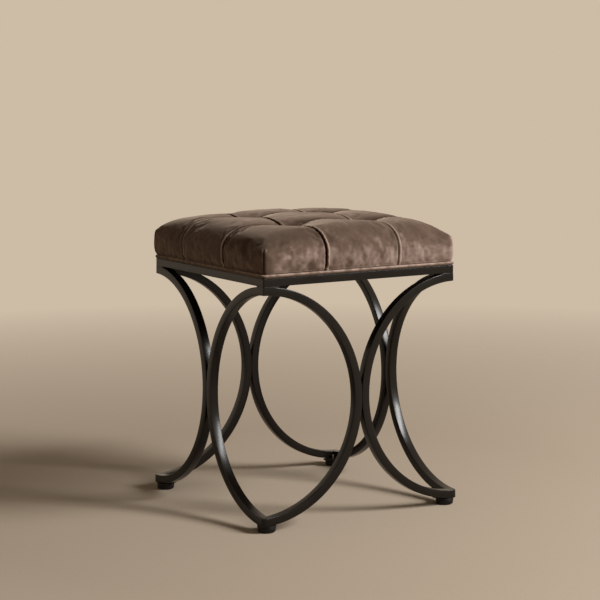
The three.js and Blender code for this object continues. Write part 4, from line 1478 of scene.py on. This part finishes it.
# %% Folds and dents
FOLD_HEIGHT = 0.4 * MM
FOLD_PITCH = 4.3 * MM
FOLD_START, FOLD_END = (4 * MM, 7 * MM), (14 * MM, 19 * MM)
FOLD_TOP, FOLD_FULL = WRAP_END - 42 * MM, WRAP_END - 18 * MM
DENT_HEIGHT = 0.55 * MM
DENT_SIZE = 34 * MM
DENTS = [(1, 1, DENT_SIZE, 3), (0.4, 1, DENT_SIZE / 2.3, 4)]
DENT_END = WRAP_END - 20 * MM


def fold_height(across, along):
    """Fine upright folds beside the near front seam, and broad dents in every pillow."""
    off = across + SEAM_OFFSET
    beside = smooth_step(off, *FOLD_START) * (1 - smooth_step(off, *FOLD_END))
    low = smooth_step(-along, FOLD_TOP, FOLD_FULL)
    folds = FOLD_HEIGHT * np.sin(2 * math.pi * off / FOLD_PITCH) * beside * low
    dents = added_noise(across, along, DENTS)
    above_foot = 1 - smooth_step(wrap_at(across, along), DENT_END, WRAP_END)
    return folds + DENT_HEIGHT * dents * left_calm(across) * above_foot


print("Dents about", DENT_SIZE / MM, "mm across")

# %% Darts and the groove of the stitches
DART_LENGTH = 55 * MM
DART_FADE = 4 * MM
DART_CLEFT, DART_WIDTH = 1.3 * MM, 0.8 * MM
DART_LIP, DART_LIP_OFFSET, DART_LIP_WIDTH = 0.5 * MM, 3.2 * MM, 1.4 * MM
PUCKER_HEIGHT, PUCKER_SIZE, PUCKER_DROP = 0.8 * MM, 5 * MM, 2 * MM
# How strong the painted highlight on the pucker is to the right of the middle, and to its left on
# the front or back and on the side.
PUCKER_HIGHLIGHT = 0.9
PUCKER_RIGHT, PUCKER_LEFT, PUCKER_LEFT_SIDE = 0.8, 0.4, 0.1
# The near right dart is lit from one side, so its rim is pale and hides most of its crease.
RIM_OFFSET, RIM_WIDTH, RIM_CREASE_SHARE = 0.5 * MM, 3.2 * MM, 0.3
STITCH_RISE = 3.0 * MM
STITCH_GROOVE, STITCH_GROOVE_WIDTH = 0.6 * MM, 1.1 * MM
STITCH_SHADE, STITCH_SHADE_WIDTH = 0.35, 0.8 * MM


def edge_height(across, along):
    """The dart at each corner with a pucker at its top, and the groove of the stitches above the
    welt. Also the painted shade of each point in the dart and the groove, and the painted
    highlight on the pucker and the rim."""
    wrap = wrap_at(across, along)
    off = np.maximum(DART_START - np.minimum(np.abs(across), np.abs(along)), 0)
    dart_top = WRAP_END - DART_LENGTH
    low = smooth_step(wrap, dart_top - DART_FADE, dart_top + DART_FADE)
    lip = hill(off - DART_LIP_OFFSET, DART_LIP_WIDTH)
    in_dart = hill(off, DART_WIDTH, CLEFT_POWER) * low
    on_side = np.abs(across) > np.abs(along)
    # How strong the pucker's painted highlight is on each side of the stool.
    tone = np.where(across < 0, np.where(on_side, PUCKER_LEFT_SIDE, PUCKER_LEFT), PUCKER_RIGHT)
    pucker = hill(wrap - dart_top - PUCKER_DROP, PUCKER_SIZE) * lip
    stitch = WRAP_END - wrap - STITCH_RISE
    height = (DART_LIP * lip * low + PUCKER_HEIGHT * pucker - DART_CLEFT * in_dart
              - STITCH_GROOVE * hill(stitch, STITCH_GROOVE_WIDTH))
    # A painted highlight on the rim of the near right dart.
    rim = ((across > 0) & (along < 0)) * low * hill(off - RIM_OFFSET, RIM_WIDTH)
    dark = np.maximum(in_dart * np.where(rim > 0, RIM_CREASE_SHARE, 1),
                      STITCH_SHADE * hill(stitch, STITCH_SHADE_WIDTH))
    return height, dark, np.maximum(PUCKER_HIGHLIGHT * pucker * tone, rim)


# Besides heights, these give the painted shade of creases, darts and the stitch groove, and the painted
# highlight on lips, puckers and the rim.
seam_detail, seam_painted_shade, fold_highlight = seam_height(fine_across, fine_along)
edge_detail, edge_painted_shade, pucker = edge_height(fine_across, fine_along)
detail = seam_detail + fold_height(fine_across, fine_along) + edge_detail
cover_points += vertex_normals(cover_points, fine_faces) * detail[:, None]
print("Clefts down to", round(float(-detail.min()) / MM, 1), "mm")

# %% Close the underside and make the cushion
CLEARANCE = 0.3 * MM
BOARD_CORNER = 5.4 * MM
WELT_CORNER = 6.5 * MM


def rounded_square(xy, half, radius):
    """Points moved to the nearest place on a square of this half width with round corners."""
    scaled = xy * (half / np.max(np.abs(xy), axis=-1, keepdims=True))
    core = np.clip(scaled, -(half - radius), half - radius)
    arm = scaled - core
    return core + radius * arm / np.linalg.norm(arm, axis=-1, keepdims=True)


def foot_ring(lines, index):
    """The numbers of the points along the foot, once round."""
    limit = int(np.argmin(np.abs(lines - DART_START)))
    last = len(lines) - 1
    run = np.arange(last - limit, limit)
    back = run[::-1] + 1
    return np.concatenate([index[run, 0], index[last, run], index[back, last], index[0, back]])


ring = foot_ring(fine_lines, fine_index)
top_count, ring_count = len(cover_points), len(ring)
board_half = board_high[0] + CLEARANCE
board_edge = rounded_square(cover_points[ring, :2], board_half, BOARD_CORNER + CLEARANCE)
under = [np.column_stack([board_edge, np.full(ring_count, z)])
         for z in (COVER_FOOT, board_high[2] + CLEARANCE)]
under.append(np.array([[0, 0, board_high[2] + CLEARANCE]]))
place = np.arange(ring_count)
after = np.roll(place, -1)
first, second = top_count, top_count + ring_count
wall = [np.column_stack([ring[after], ring, first + place, first + after]),
        np.column_stack([first + after, first + place, second + place, second + after])]
ceiling = np.column_stack([second + after, second + place, np.full(ring_count, second + ring_count)])

cushion_faces = [face for part in (fine_faces, *wall, ceiling) for face in part.tolist()]
cushion = make_piece("velvet_cushion", np.concatenate([cover_points, *under]), cushion_faces, velvet)
print("The cushion has", len(cushion.data.polygons), "faces")


# %% Helpers for the cloth's own coordinates
def add_number(piece, name, values):
    """An attribute of the mesh: a number from 0 to 1 for each point."""
    layer = piece.data.attributes.new(name, "FLOAT", "POINT")
    layer.data.foreach_set("value", np.clip(values, 0, 1).astype(np.float32))


def add_cloth_map(piece, coordinates):
    """The UV map: distances along the cloth in metres, one pair for each corner of each face."""
    layer = piece.data.uv_layers.new(name="cloth")
    layer.data.foreach_set("uv", np.asarray(coordinates, np.float32).ravel())


print("The cloth is", round(2 * WRAP_END / MM), "mm square when flat")

# %% The lie of the nap, with painted light and shade
# Each of these is how much it adds to the nap or takes from it, and then where on the cloth.
NAP_BASE = 0.25
SIDE_NAP, SIDE_NAP_START, SIDE_NAP_FULL = 0.5, WRAP_END - 58 * MM, WRAP_END - 30 * MM
# The top is paler, partly as painted light on the crests.
TOP_NAP_AND_LIGHT, TOP_NAP_START = 0.5, FLAT_HALF - 25 * MM
TOP_NAP_END, TOP_NAP_END_LEFT = FLAT_HALF + 42 * MM, FLAT_HALF + 18 * MM
# Painted shade in the valleys, behind the seams that run along x, on the shoulder and at the turn of the
# near left pillow.
CROSSING_SHADE, CROSSING_SHADE_REACH = 0.5, 36 * MM
SEAM_LINE_SHADE, SEAM_LINE_SHADE_REACH = 0.12, 8 * MM
BEHIND_SEAM_SHADE, BEHIND_SEAM_SHADE_REACH = 0.8, 22 * MM
SHOULDER_SHADE, SHOULDER_SHADE_LEFT = 0.02, 0.42
SHOULDER_PLACE, SHOULDER_REACH = WRAP_END - 82 * MM, 22 * MM
TURN_SHADE, TURN_START, TURN_FULL = 0.5, FLAT_HALF - 26 * MM, FLAT_HALF + 20 * MM
# Painted shade on the near left of the front, and painted light on its right.
FRONT_SHADE, FRONT_RIGHT_SHARE = 0.12, 0.3
# Painted shade beside the front left dart, and a painted highlight beside the front right one.
DART_SHADE_LEFT, DART_REACH_LEFT = 0.6, 9 * MM
DART_HIGHLIGHT_RIGHT, DART_REACH_RIGHT = 0.4, 10 * MM
BROAD_NAP = 0.14
STREAK_NAP, TOP_STREAK_SHARE = 0.24, 0.4
# Painted shade on the left face, which lies out of the light: its nap is darker and its streaks weaker.
LEFT_FACE_SHADE, LEFT_FACE_SHADE_REACH = 0.6, 40 * MM
# The left and right faces read the noise this far away, so that they don't repeat the other two.
SIDE_SHIFT = 0.7
# Noises of the nap, as (weight, stretch, size, seed): a stretch below 1 draws them out downwards.
RAGGED_EDGE = [(11 * MM, 0.6, 13 * MM, 5), (5 * MM, 1, 4 * MM, 6)]
BROAD_PATCHES = [(1, 1, 45 * MM, 7), (0.5, 1, 17 * MM, 8)]
STREAKS = [(1, 1 / 2.6, 4 * MM, 9), (0.8, 1 / 2, 11 * MM, 11)]


def cover_nap_and_light(across, along):
    """Pale on the sides and on top, and darkest over the edge of the seat, partly as the lie of the
    pile and partly as painted light. Painted shade darkens the valleys, the slopes behind the seams
    that run along x, the shoulder, the turn of the near left pillow, the left face, the near left of
    the front and the cloth beside the front left dart, and a painted highlight lightens the cloth
    beside the front right dart. On the sides the patches are drawn out downwards into streaks, and
    their upper edge is ragged."""
    wrap = wrap_at(across, along)
    on = np.where(np.abs(across) > np.abs(along), along + SIDE_SHIFT, across)
    side = smooth_step(wrap + added_noise(on, wrap, RAGGED_EDGE), SIDE_NAP_START, SIDE_NAP_FULL)
    left = across < -SEAM_OFFSET
    top = 1 - smooth_step(wrap, TOP_NAP_START, np.where(left, TOP_NAP_END_LEFT, TOP_NAP_END))
    to_seam = [np.abs(np.abs(c) - SEAM_OFFSET) for c in (across, along)]
    # Painted shade in the valleys on top.
    valley = (CROSSING_SHADE * hill(np.hypot(*to_seam), CROSSING_SHADE_REACH)
              + SEAM_LINE_SHADE * hill(np.minimum(*to_seam), SEAM_LINE_SHADE_REACH)) * (1 - side)
    # Painted shade on the slopes behind the seams that run along x.
    behind = sum(hill(along - place, BEHIND_SEAM_SHADE_REACH) * (along > place)
                 for place in (-SEAM_OFFSET, SEAM_OFFSET))
    # Painted shade on the shoulder, most on the left row.
    shoulder = (hill(wrap - SHOULDER_PLACE, SHOULDER_REACH)
                * np.where(left, SHOULDER_SHADE_LEFT, SHOULDER_SHADE))
    past_corner = -across - np.maximum(-along, FLAT_HALF) + FLAT_HALF
    # Painted shade where the near left pillow turns over to the left.
    left_turn = left & (along < -SEAM_OFFSET)
    left_turn = left_turn * smooth_step(past_corner, TURN_START, TURN_FULL) * (1 - side)
    # Painted shade on the left face.
    out_of_left_shade = 1 - LEFT_FACE_SHADE * smooth_step(-across, FLAT_HALF, FLAT_HALF + LEFT_FACE_SHADE_REACH)
    # Painted shade on the near left of the front, and painted light on its right.
    front = (FRONT_SHADE * smooth_step(-along, FLAT_HALF, WRAP_END)
             * np.clip(-across / WRAP_END, -FRONT_RIGHT_SHARE, 1))
    # Painted shade beside the front left dart, and a painted highlight beside the front right one.
    by_dart = (-along > np.abs(across)) * side * (
        DART_SHADE_LEFT * hill(across + DART_START, DART_REACH_LEFT)
        - DART_HIGHLIGHT_RIGHT * hill(across - DART_START, DART_REACH_RIGHT))
    streaked = (TOP_STREAK_SHARE + (1 - TOP_STREAK_SHARE) * side) * out_of_left_shade
    mottle = (BROAD_NAP * added_noise(across, along, BROAD_PATCHES)
              + STREAK_NAP * added_noise(on, wrap, STREAKS) * streaked)
    return (NAP_BASE + SIDE_NAP * side * out_of_left_shade + (TOP_NAP_AND_LIGHT - BEHIND_SEAM_SHADE * behind) * top
            - valley - shoulder - front - by_dart - TURN_SHADE * left_turn + mottle)


print("Nap from 0, brushed up, to 1, lying down")

# %% Cloth map and nap of the cushion
corner_uv = fine_lines[fine_crossings].reshape(-1, 2)
spare = len(cushion.data.loops) - len(corner_uv)
add_cloth_map(cushion, np.concatenate([corner_uv, np.full((spare, 2), WRAP_END)]))
hidden = np.full(2 * ring_count + 1, 0.5)
# The nap also carries painted light and shade, the edge a painted highlight and the crease a painted shade.
add_number(cushion, "nap_and_light", np.concatenate([cover_nap_and_light(fine_across, fine_along), hidden]))
add_number(cushion, "edge", np.concatenate([np.maximum(fold_highlight, pucker), hidden * 0]))
add_number(cushion, "crease_shade", np.concatenate([np.maximum(seam_painted_shade, edge_painted_shade), hidden * 0]))
settle(cushion, "velvet", "cushion_cover", "foam_pad")
print("Cloth map on", len(corner_uv), "corners")

# %% [markdown]
# ## Welt and stitches
#
# A welt is a cord wrapped in a strip of the same velvet and sewn between the cover and the board.
# Its strip is cut on the bias, so that it bends round the corners, but it still wrinkles a little
# every half centimetre, and more in a bend. The ends meet at the back, where one is tucked into
# the other on a slant. Just above the welt a row of small stitches holds the cover down.

# %% Welt
WELT_RADIUS = (welt_high[2] - welt_low[2]) / 2
WELT_HEIGHT = (welt_high[2] + welt_low[2]) / 2
WELT_HALF = welt_high[0] - WELT_RADIUS
WELT_PITCH = 1.4 * MM
WELT_SIDES = 22
WELT_SLANT = 0.9
WELT_WRINKLE = 0.16 * MM
WRINKLES = [(1, 0, 5.5 * MM, 31), (0.7, 2, 2.6 * MM, 32)]
BEND_WRINKLE, BEND_START, BEND_FULL = 1.6, 5 * MM, 3 * MM
JOIN_DEPTH, JOIN_WIDTH, JOIN_SLANT = 0.45 * MM, 0.9 * MM, 1.5
# A painted highlight runs along the welt's upper outer side, where it faces the light: at this turn, over
# this width.
HIGHLIGHT_TURN, HIGHLIGHT_WIDTH = 0.95, 0.75
HIGHLIGHT_WANDER, HIGHLIGHT_SIZE = 0.6, 7 * MM
# The welt's nap, and the strength of its painted highlight.
WELT_NAP, WELT_HIGHLIGHT = 0.15, 0.34


def square_walk(half, radius, pitch):
    """Once round a square with round corners, from the middle of the back. At even steps along the
    line: the place, the outward direction, the share of bend (1 on a corner's arc) and the walk so
    far. Last the length of the line."""
    straight, arc = 2 * (half - radius), math.pi / 2 * radius
    total = 4 * (straight + arc)
    count = int(round(total / pitch / 8)) * 8
    walk = np.arange(count) * total / count + straight / 2
    side, rest = np.floor(walk / (straight + arc)).astype(int) % 4, np.mod(walk, straight + arc)
    turn = np.clip((rest - straight) / radius, 0, math.pi / 2)
    x = half - radius + radius * np.sin(turn) - np.maximum(straight - rest, 0)
    y = half - radius + radius * np.cos(turn)
    cos, sin = np.cos(-side * math.pi / 2), np.sin(-side * math.pi / 2)
    out_x, out_y = np.sin(turn), np.cos(turn)
    return (np.stack([x * cos - y * sin, x * sin + y * cos], -1),
            np.stack([out_x * cos - out_y * sin, out_x * sin + out_y * cos], -1),
            smooth_step(rest, straight - BEND_START, straight + BEND_FULL), walk - straight / 2, total)


def welt_surface():
    """A tube along the walk. Its radius carries wrinkles that slant across it, and at the join a
    narrow slanting groove."""
    middle, outward, bend, walk, total = square_walk(WELT_HALF, WELT_CORNER, WELT_PITCH)
    turn = np.linspace(0, 2 * math.pi, WELT_SIDES, endpoint=False)[None, :]
    out, up = WELT_RADIUS * np.cos(turn), WELT_RADIUS * np.sin(turn)
    along = walk[:, None] + WELT_SLANT * up
    wrinkle = added_noise(along, out, WRINKLES)
    join = np.minimum(along, total - along) + JOIN_SLANT * out
    radius = (WELT_RADIUS - WELT_WRINKLE + WELT_WRINKLE * (1 + BEND_WRINKLE * bend[:, None]) * wrinkle
              - JOIN_DEPTH * hill(join, JOIN_WIDTH))
    ring = middle[:, None, :] + outward[:, None, :] * (radius * np.cos(turn))[..., None]
    points = np.concatenate([ring, (WELT_HEIGHT + radius * np.sin(turn))[..., None]], axis=-1)
    return points, np.stack(np.broadcast_arrays(walk[:, None], turn * WELT_RADIUS), axis=-1)


welt_points, welt_cloth = welt_surface()
welt_faces = closed_rings(welt_points)
welt = make_piece("velvet_welt", welt_points, welt_faces, velvet)
add_cloth_map(welt, welt_cloth.reshape(-1, 2)[np.ravel(welt_faces)])
# The painted highlight along the upper outer side goes into both the nap and the edge.
welt_highlight = hill(np.linspace(0, 2 * math.pi, WELT_SIDES, endpoint=False) - HIGHLIGHT_TURN, HIGHLIGHT_WIDTH)
welt_highlight = welt_highlight * (1 + HIGHLIGHT_WANDER * cloth_noise(welt_points[..., 0], welt_points[..., 1], HIGHLIGHT_SIZE, 33))
add_number(welt, "nap_and_light", (WELT_NAP + welt_highlight).ravel())
add_number(welt, "edge", (WELT_HIGHLIGHT * welt_highlight).ravel())
settle(welt, "welt", "welt")
print("Welt of", len(welt_points), "rings")

# %% Stitches
STITCH_PITCH = 3.4 * MM
STITCH_LENGTH = 2.3 * MM
THREAD_RADIUS = 0.33 * MM
THREAD_PLY = 0.5 * MM
THREAD_RINGS, THREAD_SIDES = 7, 6
THREAD_RISE = 0.12 * MM
THREAD_SINK = 0.45 * MM
STITCH_CORNER = WELT_CORNER + 1 * MM
STITCH_LINE_SHARE = 0.98


def sewing_thread():
    """Bonded polyester: its plies are finer than a pixel, so they are drawn as a fine mottle."""
    material, tree, shader = new_material("sewing_thread")
    place = (node(tree, "ShaderNodeTexCoord"), "Object")
    ply = node(tree, "ShaderNodeTexNoise", {"Vector": place, "Scale": 1 / THREAD_PLY, "Detail": 1.0})
    tone = node(tree, "ShaderNodeValToRGB", {"Fac": (ply, "Fac")},
                stops=[(0.35, "#6d5b50"), (0.65, "#8f7c70")])
    gloss = node(tree, "ShaderNodeMapRange", {"Value": (ply, "Fac"), "To Min": 0.5, "To Max": 0.65})
    set_sockets(shader, {
        "IOR": 1.5, "Sheen Weight": 0.2, "Base Color": (tone, "Color"), "Roughness": (gloss, "Result")})
    return material


def stitches():
    """Small spindles along the groove: each is a tube that is thickest in its middle and sinks
    towards its ends by the square of the distance. Near the darts they follow the tucked sides."""
    z = COVER_FOOT + STITCH_RISE * STITCH_LINE_SHARE
    drop = (SEAM_TOP - ROLL_HEIGHT - z) / SIDE_LENGTH
    reach = CUSHION_HALF - CUSHION_BULGE * drop ** SIDE_POWER
    middle, outward, *_ = square_walk(reach, STITCH_CORNER, STITCH_PITCH)
    to_corner = np.clip(np.min(np.abs(middle), axis=1) / DART_START, 0, 1)
    tuck = corner_tuck(drop, which_corner(*middle.T)) * to_corner ** 2
    middle = middle - outward * tuck[:, None]
    lean = np.linspace(-1, 1, THREAD_RINGS)
    turn = np.linspace(0, 2 * math.pi, THREAD_SIDES, endpoint=False)
    onward = np.stack([outward[:, 1], -outward[:, 0]], -1)
    sink = STITCH_GROOVE + THREAD_SINK * lean ** 2 - THREAD_RISE
    thick = THREAD_RADIUS * np.sqrt(np.clip(1 + BLUNT_END - lean ** 4, BLUNT_END, 1))
    line = (middle[:, None, :] + onward[:, None, :] * (lean * STITCH_LENGTH / 2)[None, :, None]
            - outward[:, None, :] * sink[None, :, None])
    out = (thick[:, None] * np.cos(turn))[None, :, :, None]
    flat = line[:, :, None, :] + outward[:, None, None, :] * out
    height = np.broadcast_to(z + thick[:, None] * np.sin(turn), flat.shape[:3])
    return np.concatenate([flat, height[..., None]], axis=-1)


thread = sewing_thread()
stitch_points = stitches()
points, faces = join_parts([(rings, capped_tube(rings)) for rings in stitch_points])
row = face_outward(make_piece("cover_stitches", points, faces, thread))
settle(row, "velvet")
print("Stitches:", len(stitch_points))

# %% [markdown]
# ## Light, floor and background
#
# The light is that of a small studio: one tall softbox to the front right, which lights the front
# face and the top and leaves the left face in shade, and a pale room that fills the shade a little.
# The strengths and the height of the light are set until the greys of the front, the top and the
# shaded side stand to each other as in a photograph of such a stool.
#
# The room is a plain pale world. The floor is a wide disc that takes the shadow and fades into the
# world's colour further out, so that no horizon shows.

# %% Lights
KEY_DIRECTION = (0.64, -0.77)
KEY_ELEVATION = math.radians(32)
KEY_DISTANCE = 4
KEY_SIZE = (1.0, 2.2)
KEY_POWER = 192
LIGHT_TARGET = (0, 0, 0.25)
FILL_STRENGTH = 0.23
BACKGROUND = "#cdbca6"


def key_softbox():
    """A rectangular light that faces the target from a plan direction and an elevation."""
    data = bpy.data.lights.new("key_softbox", "AREA")
    data.shape = "RECTANGLE"
    data.size, data.size_y = KEY_SIZE
    data.energy = KEY_POWER
    level = math.cos(KEY_ELEVATION)
    back = np.array([KEY_DIRECTION[0] * level, KEY_DIRECTION[1] * level, math.sin(KEY_ELEVATION)])
    back /= np.linalg.norm(back)
    right = np.cross([0, 0, 1], back)
    right /= np.linalg.norm(right)
    turned = np.eye(4)
    turned[:3, 0], turned[:3, 1], turned[:3, 2] = right, np.cross(back, right), back
    turned[:3, 3] = np.array(LIGHT_TARGET) + back * KEY_DISTANCE
    lamp = bpy.data.objects.new("key_softbox", data)
    lamp.matrix_world = Matrix(turned)
    scene.collection.objects.link(lamp)


def pale_world():
    """A dim pale fill for the light, and the background colour for the camera and for gloss."""
    world = bpy.data.worlds.new("pale_room")
    world.use_nodes = True
    tree = world.node_tree
    tree.nodes.clear()
    path = node(tree, "ShaderNodeLightPath")
    mirrored = node(tree, "ShaderNodeMath", {0: (path, "Is Glossy Ray"), 1: (path, "Is Transmission Ray")},
                    operation="MAXIMUM")
    seen = node(tree, "ShaderNodeMath", {0: (path, "Is Camera Ray"), 1: (mirrored, "Value")},
                operation="MAXIMUM")
    fill = node(tree, "ShaderNodeBackground", {"Color": linear(BACKGROUND), "Strength": FILL_STRENGTH})
    shown = node(tree, "ShaderNodeBackground", {"Color": linear(BACKGROUND), "Strength": 1.0})
    mixed = node(tree, "ShaderNodeMixShader", {0: (seen, "Value"), 1: (fill, "Background"),
                                               2: (shown, "Background")})
    node(tree, "ShaderNodeOutputWorld", {"Surface": (mixed, "Shader")})
    scene.world = world


key_softbox()
pale_world()
scene.view_settings.view_transform = "Standard"
print("Key light", KEY_POWER, "W, fill", FILL_STRENGTH)

# %% Floor
FLOOR_RADIUS = 5.0
FLOOR_FADE = (0.6, 2.6)
FLOOR_SIDES = 96
FLOOR_DROP = 0.4 * MM
FLOOR_GRAIN = 10 / 3 * MM


def studio_floor():
    """A matt painted floor that turns transparent with the distance from the stool."""
    material, tree, shader = new_material("painted_floor")
    place = (node(tree, "ShaderNodeTexCoord"), "Object")
    far = node(tree, "ShaderNodeVectorMath", {0: place}, operation="LENGTH")
    grain = node(tree, "ShaderNodeTexNoise", {"Vector": place, "Scale": 1 / FLOOR_GRAIN})
    tone = node(tree, "ShaderNodeValToRGB", {"Fac": (grain, "Fac")},
                stops=[(0.3, "#bbaa96"), (0.7, "#c0af9b")])
    fade = node(tree, "ShaderNodeMapRange", {
        "Value": (far, "Value"), "From Min": FLOOR_FADE[0], "From Max": FLOOR_FADE[1]})
    clear = node(tree, "ShaderNodeBsdfTransparent")
    mixed = node(tree, "ShaderNodeMixShader", {
        0: (fade, "Result"), 1: (shader, "BSDF"), 2: (clear, "BSDF")})
    set_sockets(shader, {
        "Roughness": 0.9, "Specular IOR Level": 0.1, "Base Color": (tone, "Color")})
    set_sockets(tree.nodes["Material Output"], {"Surface": (mixed, "Shader")})
    return material


turn = np.linspace(0, 2 * math.pi, FLOOR_SIDES, endpoint=False)
disc = np.column_stack([FLOOR_RADIUS * np.cos(turn), FLOOR_RADIUS * np.sin(turn),
                        np.full(FLOOR_SIDES, -FLOOR_DROP)])
floor = make_piece("studio_floor", disc, [list(range(FLOOR_SIDES))], studio_floor(), smooth=False)
print("Floor", 2 * FLOOR_RADIUS, "m across")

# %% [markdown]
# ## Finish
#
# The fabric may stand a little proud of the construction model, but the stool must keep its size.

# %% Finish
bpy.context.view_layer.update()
